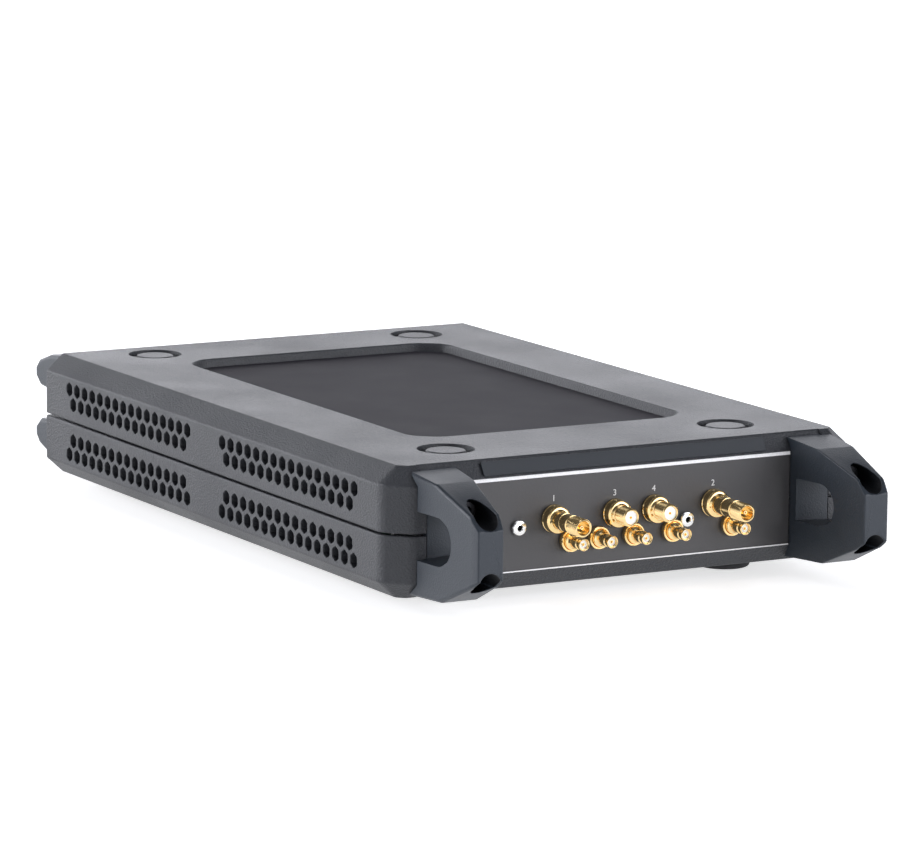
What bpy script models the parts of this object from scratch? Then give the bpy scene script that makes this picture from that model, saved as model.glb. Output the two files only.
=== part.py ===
"""Compact vector network analyzer: a two-shell case, bumper handles, coaxial front panel, fans inside.

Metres, +Z up, the front faces -Y.  The origin is under the middle of the whole object, on the plane
that its rubber feet stand on.
"""
import math

import bmesh
import bpy
from mathutils import Matrix, Vector

# ---------------------------------------------------------------- driving dimensions
BODY_WIDTH = 0.1830
BODY_HEIGHT = 0.0444           # both shells together, without the feet
TOP_LENGTH = 0.2593            # flat top face, front edge to rear edge
HANDLE_REACH = 0.0426          # handle front, ahead of the top face's front edge
BUMPER_REACH = 0.0291          # rear posts, behind the rear edge
FOOT_HEIGHT = 0.0050
GAP = 0.0003                   # air between pieces that touch
SEAM = 0.0008                  # groove between the two shells

WALL = 0.0024                  # side walls of the shells
DECK = 0.0030                  # top and bottom walls
SIDE_CHAMFER = 0.00665         # horizontal run of the sloped long edges
CHAMFER_DROP = 0.0059          # height of every sloped edge
BLOCK_REACH = 0.0070           # front corners, ahead of the top face's front edge
PANEL_REACH = 0.00364          # front panel plane, ahead of the same edge
PANEL_HALF = 0.0650            # half width of the panel opening
PAD_HALF = 0.0786              # outer end of the handle seats beside the panel
CORNER_CUT = 0.0085            # front corners of the case, seen from above
TOP_CORNER_CUT = 0.0026        # the same corners at the flat top and bottom faces
CORNER_SOFTNESS = 0.3          # share of the cut over which its two ends are rounded
PANEL_INSET = 0.0061           # panel opening, from the top and bottom faces

# ---------------------------------------------------------------- places worked out from them
TOTAL_LENGTH = HANDLE_REACH + TOP_LENGTH + BUMPER_REACH
FRONT = HANDLE_REACH - TOTAL_LENGTH / 2       # Y of the top face's front edge
REAR = FRONT + TOP_LENGTH
BASE = FOOT_HEIGHT                            # Z of the bottom shell's underside
TOP = BASE + BODY_HEIGHT
MID = BASE + BODY_HEIGHT / 2
PANEL_Y = FRONT - PANEL_REACH
BLOCK_Y = FRONT - BLOCK_REACH
HALF = BODY_WIDTH / 2
PANEL_LOW = BASE + PANEL_INSET
PANEL_HIGH = TOP - PANEL_INSET
CAVITY_FRONT = FRONT + 0.0005
CAVITY_REAR = REAR - 0.0083
REAR_OPENING_HALF = 0.0623

for old in list(bpy.data.objects):
    bpy.data.objects.remove(old, do_unlink=True)

parts = bpy.data.collections.new("vector_network_analyzer")
cutters = bpy.data.collections.new("cutters")
bpy.context.scene.collection.children.link(parts)
bpy.context.scene.collection.children.link(cutters)


# ---------------------------------------------------------------- materials
def material(name, color, roughness, metallic=0.0):
    made = bpy.data.materials.new(name)
    made.use_nodes = True
    shader = made.node_tree.nodes["Principled BSDF"]
    shader.inputs["Base Color"].default_value = (*color, 1.0)
    shader.inputs["Roughness"].default_value = roughness
    shader.inputs["Metallic"].default_value = metallic
    return made


SHELL = material("textured_shell_plastic", (0.235, 0.240, 0.255), 0.62)
BUMPER = material("bumper_plastic", (0.085, 0.100, 0.118), 0.55)
PANEL = material("panel_grey", (0.100, 0.100, 0.106), 0.50)
LABEL = material("label_film", (0.045, 0.043, 0.050), 0.42)
GOLD = material("gold_plate", (0.83, 0.60, 0.24), 0.22, 1.0)
NICKEL = material("nickel_plate", (0.78, 0.78, 0.77), 0.25, 1.0)
STEEL = material("black_oxide_steel", (0.06, 0.06, 0.065), 0.40, 1.0)
RUBBER = material("black_rubber", (0.020, 0.020, 0.022), 0.80)
SHEET = material("sheet_aluminium", (0.72, 0.73, 0.75), 0.35, 1.0)
BOARD = material("board_green", (0.020, 0.145, 0.070), 0.45)
COPPER = material("semi_rigid_copper", (0.72, 0.40, 0.25), 0.30, 1.0)
FAN_BLACK = material("fan_plastic", (0.030, 0.030, 0.032), 0.50)
PORT_STEEL = material("port_shell_steel", (0.60, 0.60, 0.61), 0.32, 1.0)


# ---------------------------------------------------------------- making and placing
def new_object(name, bm, mat=None, collection=parts, smooth=None):
    bmesh.ops.recalc_face_normals(bm, faces=bm.faces)
    mesh = bpy.data.meshes.new(name)
    bm.to_mesh(mesh)
    bm.free()
    made = bpy.data.objects.new(name, mesh)
    collection.objects.link(made)
    if mat:
        mesh.materials.append(mat)
    if smooth:
        mesh.shade_smooth()
        mesh.set_sharp_from_angle(angle=math.radians(smooth))
    return made


def as_cutter(made):
    for home in list(made.users_collection):
        home.objects.unlink(made)
    cutters.objects.link(made)
    made.hide_render = True
    made.display_type = "WIRE"
    return made


def boolean(target, tool, operation="DIFFERENCE"):
    modifier = target.modifiers.new(tool.name, "BOOLEAN")
    modifier.operation = operation
    modifier.solver = "EXACT"
    modifier.object = tool
    return target


def box(name, low, high, mat=None, collection=parts):
    """A box between two corners, from the cube primitive."""
    low, high = Vector(low), Vector(high)
    bm = bmesh.new()
    place = Matrix.Translation((low + high) / 2) @ Matrix.Diagonal((*(high - low), 1.0))
    bmesh.ops.create_cube(bm, size=1.0, matrix=place)
    return new_object(name, bm, mat, collection)


def toward(axis):
    """Rotation that turns local +Z to a world axis."""
    turns = {
        "X": Matrix.Rotation(math.radians(90), 4, "Y"),
        "-Y": Matrix.Rotation(math.radians(90), 4, "X"),
        "Y": Matrix.Rotation(math.radians(-90), 4, "X"),
        "Z": Matrix.Identity(4),
    }
    return turns[axis]


def cylinder(name, radius, low, high, axis="Z", mat=None, segments=20, collection=parts, phase=0.0):
    """A cylinder along X, Y or Z between the centres of its two ends."""
    low, high = Vector(low), Vector(high)
    bm = bmesh.new()
    place = Matrix.Translation((low + high) / 2) @ toward(axis) @ Matrix.Rotation(phase, 4, "Z")
    bmesh.ops.create_cone(bm, cap_ends=True, segments=segments, radius1=radius, radius2=radius,
                          depth=(high - low).length, matrix=place)
    return new_object(name, bm, mat, collection, smooth=40)


def loft(name, rings, mat=None, collection=parts, smooth=None):
    """A closed solid through rings that all have the same number of points."""
    bm = bmesh.new()
    rows = [[bm.verts.new(point) for point in ring] for ring in rings]
    count = len(rows[0])
    for lower, upper in zip(rows, rows[1:]):
        for i in range(count):
            j = (i + 1) % count
            bm.faces.new((lower[i], lower[j], upper[j], upper[i]))
    bm.faces.new(list(reversed(rows[0])))
    bm.faces.new(rows[-1])
    return new_object(name, bm, mat, collection, smooth)


def prism_x(name, outline, x_low, x_high, mat=None, collection=parts, smooth=None):
    """An outline in the YZ plane, carried along X."""
    rings = [[(x, y, z) for y, z in outline] for x in (x_low, x_high)]
    return loft(name, rings, mat, collection, smooth)


def flat_outline(name, outline, z_low, z_high, mat=None):
    """An outline in the XY plane as a filled 2D curve with thickness, made a mesh."""
    curve = bpy.data.curves.new(name, "CURVE")
    curve.dimensions = "2D"
    curve.fill_mode = "BOTH"
    curve.extrude = (z_high - z_low) / 2
    spline = curve.splines.new("POLY")
    spline.points.add(len(outline) - 1)
    for point, (x, y) in zip(spline.points, outline):
        point.co = (x, y, 0.0, 1.0)
    spline.use_cyclic_u = True
    drawn = bpy.data.objects.new(name + "_curve", curve)
    drawn.location.z = (z_low + z_high) / 2
    parts.objects.link(drawn)
    bpy.context.view_layer.update()
    mesh = bpy.data.meshes.new_from_object(drawn.evaluated_get(bpy.context.evaluated_depsgraph_get()))
    bm = bmesh.new()
    bm.from_mesh(mesh)
    bmesh.ops.remove_doubles(bm, verts=bm.verts, dist=1e-6)
    bm.transform(drawn.matrix_world)
    bpy.data.objects.remove(drawn, do_unlink=True)
    return new_object(name, bm, mat)


def turned(name, profile, centre, axis, mat, segments=18):
    """A turned piece: (radius, height) pairs from the top of the axis down its outer side."""
    mesh = bpy.data.meshes.new(name)
    points = [(radius, 0.0, height) for radius, height in profile]
    mesh.from_pydata(points, [(i, i + 1) for i in range(len(points) - 1)], [])
    made = bpy.data.objects.new(name, mesh)
    made.matrix_world = Matrix.Translation(centre) @ toward(axis)
    parts.objects.link(made)
    mesh.materials.append(mat)
    screw = made.modifiers.new("Screw", "SCREW")
    screw.steps = segments
    screw.render_steps = segments
    screw.use_merge_vertices = True
    screw.merge_threshold = 0.00001
    screw.use_smooth_shade = False
    return made


def tube(name, points, radius, mat):
    """A round tube through a few points, smoothed into a curve of short straight lengths."""
    curve = bpy.data.curves.new(name, "CURVE")
    curve.dimensions = "3D"
    curve.bevel_depth = radius
    curve.bevel_resolution = 2
    curve.use_fill_caps = True
    path = smooth_path(points)
    spline = curve.splines.new("POLY")
    spline.points.add(len(path) - 1)
    for point, place in zip(spline.points, path):
        point.co = (*place, 1.0)
    curve.materials.append(mat)
    made = bpy.data.objects.new(name, curve)
    parts.objects.link(made)
    return made


def smooth_path(points, steps=3):
    """Points along a Catmull-Rom curve through the given ones."""
    line = [Vector(point) for point in points]
    padded = [2 * line[0] - line[1], *line, 2 * line[-1] - line[-2]]
    path = []
    for a, b, c, d in zip(padded, padded[1:], padded[2:], padded[3:]):
        for step in range(steps):
            t = step / steps
            near = 2 * b + (c - a) * t
            far = (2 * a - 5 * b + 4 * c - d) * t ** 2 + (3 * b - a - 3 * c + d) * t ** 3
            path.append((near + far) / 2)
    return [*path, line[-1]]


def arc(cx, cy, radius, start, end, steps):
    """Points on an arc, angles in degrees."""
    angles = [math.radians(start + (end - start) * i / steps) for i in range(steps + 1)]
    return [(cx + radius * math.cos(a), cy + radius * math.sin(a)) for a in angles]


def mirrored_z(points):
    """The same outline reflected in the seam plane, in reverse order."""
    return [(y, 2 * MID - z) for y, z in reversed(points)]


# ---------------------------------------------------------------- the two shells
def rounded(corner, before, after, reach, steps=3):
    """Points of a curve that rounds the corner, starting and ending the given reach away from it."""
    corner, before, after = Vector(corner), Vector(before), Vector(after)
    start = corner + (before - corner).normalized() * reach
    end = corner + (after - corner).normalized() * reach
    shares = [step / steps for step in range(steps + 1)]
    return [tuple(start * (1 - t) ** 2 + corner * 2 * t * (1 - t) + end * t ** 2) for t in shares]


def case_ring(z, half, front, rear, cut):
    """Plan outline of the case at one height: square rear corners, cut and softened front ones."""
    side, ahead = (half, front + cut), (half - cut, front)
    reach = cut * CORNER_SOFTNESS
    right = rounded(side, (half, rear), ahead, reach) + rounded(ahead, side, (0.0, front), reach)
    left = [(-x, y) for x, y in reversed(right)]
    return [(x, y, z) for x, y in [(-half, rear), (half, rear), *right, *left]]


def case_block(name, z_low, z_high):
    """The part of the outer form between two heights."""
    levels = [
        (BASE, HALF - SIDE_CHAMFER, FRONT, TOP_CORNER_CUT),
        (BASE + CHAMFER_DROP, HALF, BLOCK_Y, CORNER_CUT),
        (TOP - CHAMFER_DROP, HALF, BLOCK_Y, CORNER_CUT),
        (TOP, HALF - SIDE_CHAMFER, FRONT, TOP_CORNER_CUT),
    ]
    rings = [case_ring(z, half, front, REAR, cut) for z, half, front, cut in levels if z_low <= z <= z_high]
    edge = MID + SEAM / 2 if z_low > BASE else MID - SEAM / 2
    split = case_ring(edge, HALF, BLOCK_Y, REAR, CORNER_CUT)
    rings = [split, *rings] if z_low > BASE else [*rings, split]
    return loft(name, rings, SHELL, smooth=30)


def case_cavity():
    """The hollow inside, in one solid through both shells."""
    inner = HALF - WALL
    slope = 0.0060
    levels = [
        (BASE + DECK, inner - slope),
        (BASE + DECK + 0.0040, inner),
        (TOP - DECK - 0.0040, inner),
        (TOP - DECK, inner - slope),
    ]
    rings = [case_ring(z, half, CAVITY_FRONT, CAVITY_REAR, 0.0020) for z, half in levels]
    return as_cutter(loft("case_cavity", rings))


def front_cut():
    """What the sloped strip and the flat panel plane take off the front, between the corners."""
    over = 0.0020
    back = FRONT + 0.0002 + over * PANEL_REACH / (TOP - PANEL_HIGH)
    high = (back, TOP + over)
    low = (back, BASE - over)
    far = FRONT - 0.03
    outline = [high, (PANEL_Y, PANEL_HIGH), (PANEL_Y, PANEL_LOW), low, (far, BASE - over),
               (far, TOP + over)]
    return as_cutter(prism_x("front_cut", outline, -PAD_HALF, PAD_HALF))


def panel_opening(name, half, y_low, y_high):
    return as_cutter(box(name, (-half, y_low, PANEL_LOW), (half, y_high, PANEL_HIGH)))


RECESS_HALF = 0.0535
RECESS_FRONT = FRONT + 0.0432
RECESS_REAR = FRONT + 0.2235
RECESS_DEPTH = 0.00356
RECESS_CORNER = (0.0085, 0.0070)


def recess_outline(inset):
    """Rectangle with cut corners, drawn inwards by the inset."""
    half = RECESS_HALF - inset
    low = RECESS_FRONT + inset
    high = RECESS_REAR - inset
    cx, cy = RECESS_CORNER
    quarter = [(half - cx, low), (half, low + cy), (half, high - cy), (half - cx, high)]
    return quarter + [(-x, y) for x, y in reversed(quarter)]


FOOT_X = 0.0551
FOOT_YS = {"front": FRONT + 0.0225, "rear": FRONT + 0.2424}
FOOT_RADIUS = 0.0093
DIMPLE_RADIUS = 0.0098
DIMPLE_DEPTH = 0.0018
PAD_RADIUS = 0.0070             # raised disc in the middle of each dimple
PAD_DROP = 0.0003               # its top, below the case's top face
POCKET_DEPTH = 0.0015
SIDES = {"left": -1, "right": 1}


def round_pockets(name, radius, z_low, z_high):
    """One cutter with a disc at each of the four foot places."""
    bm = bmesh.new()
    for side in SIDES.values():
        for y in FOOT_YS.values():
            place = Matrix.Translation((side * FOOT_X, y, (z_low + z_high) / 2))
            bmesh.ops.create_cone(bm, cap_ends=True, segments=24, radius1=radius, radius2=radius,
                                  depth=z_high - z_low, matrix=place)
    return as_cutter(new_object(name, bm))


VENT_PITCH = 0.00643
VENT_SIZE = 0.0026              # centre to corner of one hexagonal hole
VENT_GROUPS = (FRONT + 0.0676, FRONT + 0.1911)
VENT_ROWS = ((0.0121, 16), (0.0067, 15))   # height from the seam plane, holes in the row


def vents(name, up):
    """All the hexagonal holes of one shell, in both side walls."""
    bm = bmesh.new()
    along_x = toward("X")
    for side in SIDES.values():
        for centre in VENT_GROUPS:
            for rise, count in VENT_ROWS:
                for i in range(count):
                    y = centre + (i - (count - 1) / 2) * VENT_PITCH
                    place = Matrix.Translation((side * (HALF - WALL / 2), y, MID + up * rise)) @ along_x
                    bmesh.ops.create_cone(bm, cap_ends=True, segments=6, radius1=VENT_SIZE,
                                          radius2=VENT_SIZE, depth=3 * WALL, matrix=place)
    return as_cutter(new_object(name, bm))


HANDLE_SCREW_X = 0.0744
HANDLE_SCREW_RISE = 0.0111      # from the seam plane
BUMPER_SCREW_X = 0.0745
BUMPER_SCREW_RISE = 0.0128
SCREW_RADIUS = 0.0020


def corner_bores(name, up):
    """Screw holes in the four corner blocks of one shell."""
    bm = bmesh.new()
    spans = (
        (HANDLE_SCREW_X, HANDLE_SCREW_RISE, PANEL_Y - 0.001, CAVITY_FRONT + 0.001),
        (BUMPER_SCREW_X, BUMPER_SCREW_RISE, CAVITY_REAR - 0.001, REAR + 0.001),
    )
    for side in SIDES.values():
        for x, rise, y_low, y_high in spans:
            place = Matrix.Translation((side * x, (y_low + y_high) / 2, MID + up * rise)) @ toward("-Y")
            bmesh.ops.create_cone(bm, cap_ends=True, segments=12, radius1=SCREW_RADIUS + GAP,
                                  radius2=SCREW_RADIUS + GAP, depth=y_high - y_low, matrix=place)
    return as_cutter(new_object(name, bm))


def make_shells():
    cavity = case_cavity()
    front = front_cut()
    openings = [
        panel_opening("front_opening", PANEL_HALF, FRONT - 0.03, FRONT + 0.003),
        panel_opening("rear_opening", REAR_OPENING_HALF, CAVITY_REAR - 0.003, REAR + 0.003),
    ]
    pan = box("recess_pan", (-RECESS_HALF - 0.003, RECESS_FRONT - 0.003, TOP - RECESS_DEPTH - 0.0023),
              (RECESS_HALF + 0.003, RECESS_REAR + 0.003, TOP - DECK / 2))
    recess = flat_outline("recess_cut", recess_outline(0.0), TOP - RECESS_DEPTH, TOP + 0.002)
    for name, low, high, up in (("top_cover", MID, TOP, 1), ("bottom_cover", BASE, MID, -1)):
        shell = case_block(name, low, high)
        boolean(shell, cavity)
        if up > 0:
            boolean(shell, as_cutter(pan), "UNION")
            boolean(shell, as_cutter(recess))
            dimples = round_pockets("dimples", DIMPLE_RADIUS, TOP - DIMPLE_DEPTH, TOP + 0.002)
            pads = round_pockets("dimple_pads", PAD_RADIUS, TOP - DIMPLE_DEPTH - 0.001, TOP - PAD_DROP)
            boolean(dimples, pads)
            boolean(shell, dimples)
        else:
            pockets = round_pockets("foot_pockets", FOOT_RADIUS + GAP, BASE - 0.002, BASE + POCKET_DEPTH)
            boolean(shell, pockets)
        boolean(shell, front)
        for opening in openings:
            boolean(shell, opening)
        boolean(shell, corner_bores(name + "_bores", up))
        boolean(shell, vents(name + "_vents", up))


def make_feet():
    for row, y in FOOT_YS.items():
        for side, sign in SIDES.items():
            height = FOOT_HEIGHT + POCKET_DEPTH - GAP
            profile = [(0.0, height), (FOOT_RADIUS, height), (FOOT_RADIUS, 0.0012),
                       (FOOT_RADIUS - 0.0012, 0.0), (0.0, 0.0)]
            turned(f"foot_{row}_{side}", profile, (sign * FOOT_X, y, 0.0), "Z", RUBBER, 20)


# ---------------------------------------------------------------- handles and rear bumpers
BORE_RADIUS = 0.0041
BORE_FLOOR = FRONT - 0.0238
HANDLE_IN = PANEL_HALF
HANDLE_OUT = 0.0825
HANDLE_DRAFT_IN = 0.123         # how fast each side draws in towards the front
HANDLE_DRAFT_OUT = 0.068
FRONT_CHAMFER = 0.0034          # upright edge of the outer side
SLOPE_CHAMFER = 0.0007          # the outer side's other edges
GRIP_CENTRE = FRONT - 0.0190
GRIP_RADIUS_OUT = 0.0083
GRIP_RADIUS_IN = 0.0070


def handle_outline():
    """Side view: seat on the case, gentle run, long slope, upright front; fuller below than above."""
    seat = [(PANEL_Y - GAP, PANEL_HIGH + 0.0001), (FRONT - 0.00123, TOP - 0.0015)]
    nose = FRONT - HANDLE_REACH
    upper = [(FRONT - 0.0180, TOP - 0.0033), (FRONT - 0.0385, TOP - 0.0105), (nose, TOP - 0.0151)]
    lower = [(nose, BASE + 0.0125), (FRONT - 0.0385, BASE + 0.0098), (FRONT - 0.0214, BASE + 0.0023)]
    return seat + upper + lower + mirrored_z(seat)


def tapered(made, sign):
    """Draft of the handle's two sides: it narrows towards its front."""
    for vertex in made.data.vertices:
        ahead = PANEL_Y - vertex.co.y
        inner = abs(vertex.co.x) < (HANDLE_IN + HANDLE_OUT) / 2
        vertex.co.x += sign * max(ahead, 0.0) * (HANDLE_DRAFT_IN if inner else -HANDLE_DRAFT_OUT)


def chamfer_outer_edges(made, sign):
    """Cut back the handle's outer edges, the upright one most; those against the case stay square."""
    bm = bmesh.new()
    bm.from_mesh(made.data)
    limit = max(sign * vertex.co.x for vertex in bm.verts) - 0.0035
    nose = FRONT - HANDLE_REACH + 0.0001
    sloped = [edge for edge in bm.edges
              if all(sign * vertex.co.x > limit for vertex in edge.verts)
              and not all(abs(vertex.co.y - PANEL_Y) < 0.0040 for vertex in edge.verts)
              and not all(vertex.co.y < nose for vertex in edge.verts)]
    bmesh.ops.bevel(bm, geom=sloped, offset=SLOPE_CHAMFER, segments=1, profile=0.5, affect="EDGES")
    upright = [edge for edge in bm.edges
               if all(vertex.co.y < nose and sign * vertex.co.x > limit for vertex in edge.verts)
               and abs(edge.verts[0].co.x - edge.verts[1].co.x) < 1e-6
               and edge.calc_face_angle(0.0) > math.radians(60)]
    bmesh.ops.bevel(bm, geom=upright, offset=FRONT_CHAMFER, segments=1, profile=0.5, affect="EDGES")
    bm.to_mesh(made.data)
    bm.free()


def grip_ring(x, radius):
    """D-shaped finger opening: flat against the case, round towards the front."""
    front = arc(GRIP_CENTRE, MID, radius, 90, 270, 10)
    return [(x, y, z) for y, z in [(BLOCK_Y, MID - radius), (BLOCK_Y, MID + radius), *front]]


def seat_outline():
    """Side view of the case corner, a gap larger all round, that the handle's seat clears."""
    slope = Vector((-BLOCK_REACH, -CHAMFER_DROP)).normalized()
    start = Vector((FRONT, TOP)) + Vector((slope.y, -slope.x)) * GAP
    end = start + slope * ((BLOCK_Y - GAP - start.x) / slope.x)
    upper = [(start.x, start.y), (end.x, end.y)]
    behind = FRONT + 0.0030
    return upper + mirrored_z(upper) + [(behind, 2 * MID - start.y), (behind, start.y)]


def make_handle(side, sign):
    handle = prism_x(f"handle_{side}", handle_outline(), sign * HANDLE_IN, sign * HANDLE_OUT, BUMPER)
    tapered(handle, sign)
    chamfer_outer_edges(handle, sign)
    cut = prism_x(f"corner_{side}", seat_outline(), sign * (PAD_HALF - GAP), sign * (HANDLE_OUT + 0.01))
    grip = loft(f"grip_{side}", [grip_ring(sign * (HANDLE_IN - 0.004), GRIP_RADIUS_IN),
                                 grip_ring(sign * (HANDLE_OUT + 0.002), GRIP_RADIUS_OUT)])
    boolean(handle, as_cutter(grip))
    boolean(handle, as_cutter(cut))
    for level, up in (("upper", 1), ("lower", -1)):
        x, z = sign * HANDLE_SCREW_X, MID + up * HANDLE_SCREW_RISE
        ahead = FRONT - HANDLE_REACH - 0.01
        bore = cylinder(f"bore_{level}_{side}", BORE_RADIUS, (x, ahead, z), (x, BORE_FLOOR, z), "-Y",
                        segments=20)
        boolean(handle, as_cutter(bore))
        hole = cylinder(f"hole_{level}_{side}", SCREW_RADIUS + GAP, (x, BORE_FLOOR - 0.002, z),
                        (x, FRONT, z), "-Y", segments=12)
        boolean(handle, as_cutter(hole))
        cap_screw(f"handle_screw_{level}_{side}", (x, BORE_FLOOR - GAP, z), "-Y", BORE_FLOOR - GAP - FRONT)


SCREW_HEAD_HEIGHT = 0.0025
SCREW_HEAD_RADIUS = 0.0033
SOCKET_RADIUS = 0.0014
SOCKET_DEPTH = 0.0015


def cap_screw(name, seat, axis, reach):
    """Low socket-head screw; its head stands on the seat and its shank runs on behind it."""
    head, radius, socket = SCREW_HEAD_HEIGHT, SCREW_HEAD_RADIUS, SOCKET_RADIUS
    depth = abs(reach) + 0.0002
    profile = [(0.0, head - SOCKET_DEPTH), (socket, head - SOCKET_DEPTH), (socket, head), (radius, head),
               (radius, 0.0), (SCREW_RADIUS, 0.0), (SCREW_RADIUS, -depth), (0.0, -depth)]
    turned(name, profile, seat, axis, STEEL, 10)


BUMPER_BORE_FLOOR = REAR + 0.0110
BUMPER_BORE_RADIUS = 0.0038
BUMPER_IN = 0.0665
BUMPER_OUT = 0.0825
BUMPER_CHAMFER = 0.0016


def bumper_outline():
    """Side view of an upper rear post: it slopes down to a rounded end."""
    end = REAR + BUMPER_REACH
    root = REAR + GAP
    return [
        (root, TOP - 0.0015),
        (REAR + 0.0167, TOP - 0.0032),
        (end - 0.0030, TOP - 0.0062),
        (end, TOP - 0.0092),
        (end, TOP - 0.0128),
        (end - 0.0040, TOP - 0.0160),
        (root, TOP - 0.0180),
    ]


def make_bumper(level, up, side, sign):
    outline = bumper_outline() if up > 0 else mirrored_z(bumper_outline())
    post = prism_x(f"rear_bumper_{level}_{side}", outline, sign * BUMPER_IN, sign * BUMPER_OUT, BUMPER)
    bm = bmesh.new()
    bm.from_mesh(post.data)
    long_edges = [edge for edge in bm.edges
                  if abs(edge.verts[0].co.x - edge.verts[1].co.x) < 1e-6
                  and max(vertex.co.y for vertex in edge.verts) > REAR + 0.001]
    bmesh.ops.bevel(bm, geom=long_edges, offset=BUMPER_CHAMFER, segments=1, profile=0.5, affect="EDGES")
    bm.to_mesh(post.data)
    bm.free()
    x, z = sign * BUMPER_SCREW_X, MID + up * BUMPER_SCREW_RISE
    end = REAR + BUMPER_REACH + 0.01
    bore = cylinder(f"post_bore_{level}_{side}", BUMPER_BORE_RADIUS, (x, BUMPER_BORE_FLOOR, z),
                    (x, end, z), "Y",
                    segments=16)
    boolean(post, as_cutter(bore))
    hole = cylinder(f"post_hole_{level}_{side}", SCREW_RADIUS + GAP, (x, REAR - 0.002, z),
                    (x, BUMPER_BORE_FLOOR + 0.002, z), "Y", segments=12)
    boolean(post, as_cutter(hole))
    seat = (x, BUMPER_BORE_FLOOR + GAP, z)
    cap_screw(f"rear_bumper_screw_{level}_{side}", seat, "Y", BUMPER_BORE_FLOOR + GAP - REAR + 0.006)


# ---------------------------------------------------------------- front panel and connectors
def gold_port(name, x, z, reach):
    """Large threaded port: round flange, stepped barrel, open end with its centre contact."""
    flange, barrel, mouth, pin = 0.0048, 0.00315, 0.0026, 0.0008
    profile = [
        (0.0, reach - 0.0022), (pin, reach - 0.0022), (pin, reach - 0.0045), (mouth, reach - 0.0045),
        (mouth, reach), (barrel, reach), (barrel, 0.0044), (flange, 0.0030), (flange, GAP),
        (0.0038, GAP), (0.0022, -0.0080), (0.0022, -0.0150), (0.0, -0.0150),
    ]
    turned(name, profile, (x, PANEL_Y, z), "-Y", GOLD, 14)


def small_port(name, x, z, y, axis, reach, mat, flange=0.0039, barrel=0.0021):
    """Small jack: round flange, plain barrel, open end with its centre contact."""
    mouth, pin = barrel - 0.0005, 0.0005
    profile = [
        (0.0, reach - 0.0010), (pin, reach - 0.0010), (pin, reach - 0.0024), (mouth, reach - 0.0024),
        (mouth, reach), (barrel, reach), (barrel, 0.0036), (flange, 0.0024), (flange, GAP),
        (barrel, GAP), (barrel, -0.0075), (0.0, -0.0075),
    ]
    turned(name, profile, (x, y, z), axis, mat, 12)


LARGE_PORTS = {
    "port_1_connector": (-0.0284, 0.0230, 0.0198),
    "lo_out_connector": (-0.0047, 0.0230, 0.0112),
    "lo_in_connector": (0.0106, 0.0232, 0.0112),
    "port_2_connector": (0.0340, 0.0232, 0.0220),
}
SMALL_PORTS = {
    "small_connector_1": -0.0224,
    "small_connector_2": -0.0114,
    "small_connector_3": 0.0021,
    "small_connector_4": 0.0175,
    "small_connector_5": 0.0410,
}
SMALL_PORT_HEIGHT = 0.0152
SMALL_PORT_REACH = 0.0104
SILVER_JACKS = {"bias_jack_left": (-0.0421, 0.0210), "bias_jack_right": (0.0234, 0.0184)}
SILVER_JACK_REACH = 0.0018
SILVER_JACK_BARREL = 0.0016


def silver_jack(name, x, z):
    """Miniature jack almost flush with the panel: a flat ring round its open mouth."""
    flange, barrel, mouth, pin = 0.0026, SILVER_JACK_BARREL, 0.0009, 0.0003
    reach = SILVER_JACK_REACH
    profile = [
        (0.0, 0.0004), (pin, 0.0004), (pin, -0.0030), (mouth, -0.0030), (mouth, reach), (flange, reach),
        (flange, GAP), (barrel, GAP), (barrel, -0.0075), (0.0, -0.0075),
    ]
    turned(name, profile, (x, PANEL_Y, z), "-Y", NICKEL, 14)


def bored_plate(name, low, high, bores, mat):
    """A panel with round holes; bores are (x, z, radius)."""
    plate = box(name, low, high, mat)
    bm = bmesh.new()
    for x, z, radius in bores:
        place = Matrix.Translation((x, (low[1] + high[1]) / 2, z)) @ toward("-Y")
        bmesh.ops.create_cone(bm, cap_ends=True, segments=12, radius1=radius, radius2=radius,
                              depth=0.01, matrix=place)
    return boolean(plate, as_cutter(new_object(name + "_bores", bm)))


def make_front():
    bores = []
    for name, (x, height, reach) in LARGE_PORTS.items():
        gold_port(name, x, BASE + height, reach)
        bores.append((x, BASE + height, 0.0038 + 2 * GAP))
    for name, x in SMALL_PORTS.items():
        small_port(name, x, BASE + SMALL_PORT_HEIGHT, PANEL_Y, "-Y", SMALL_PORT_REACH, GOLD)
        bores.append((x, BASE + SMALL_PORT_HEIGHT, 0.0021 + 2 * GAP))
    for name, (x, height) in SILVER_JACKS.items():
        silver_jack(name, x, BASE + height)
        bores.append((x, BASE + height, SILVER_JACK_BARREL + 2 * GAP))
    bored_plate("front_panel", (-PANEL_HALF + GAP, PANEL_Y, PANEL_LOW + GAP),
                (PANEL_HALF - GAP, PANEL_Y + 0.0020, PANEL_HIGH - GAP), bores, PANEL)
    slope = Vector((0.0, -PANEL_REACH, PANEL_HIGH - TOP)).normalized()
    out = Vector((0.0, slope.z, -slope.y))
    edge = Vector((0.0, FRONT, TOP))
    near, far, thick = 0.0011, 0.0063, 0.0004
    corners = [edge + slope * near + out * GAP, edge + slope * near + out * (GAP + thick),
               edge + slope * far + out * (GAP + thick), edge + slope * far + out * GAP]
    prism_x("front_label_strip", [(c.y, c.z) for c in corners], -0.0552, 0.0552, LABEL)


def make_top_label():
    floor = TOP - RECESS_DEPTH
    flat_outline("top_label", recess_outline(0.0009), floor + GAP, floor + GAP + 0.0004, LABEL)


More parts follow.
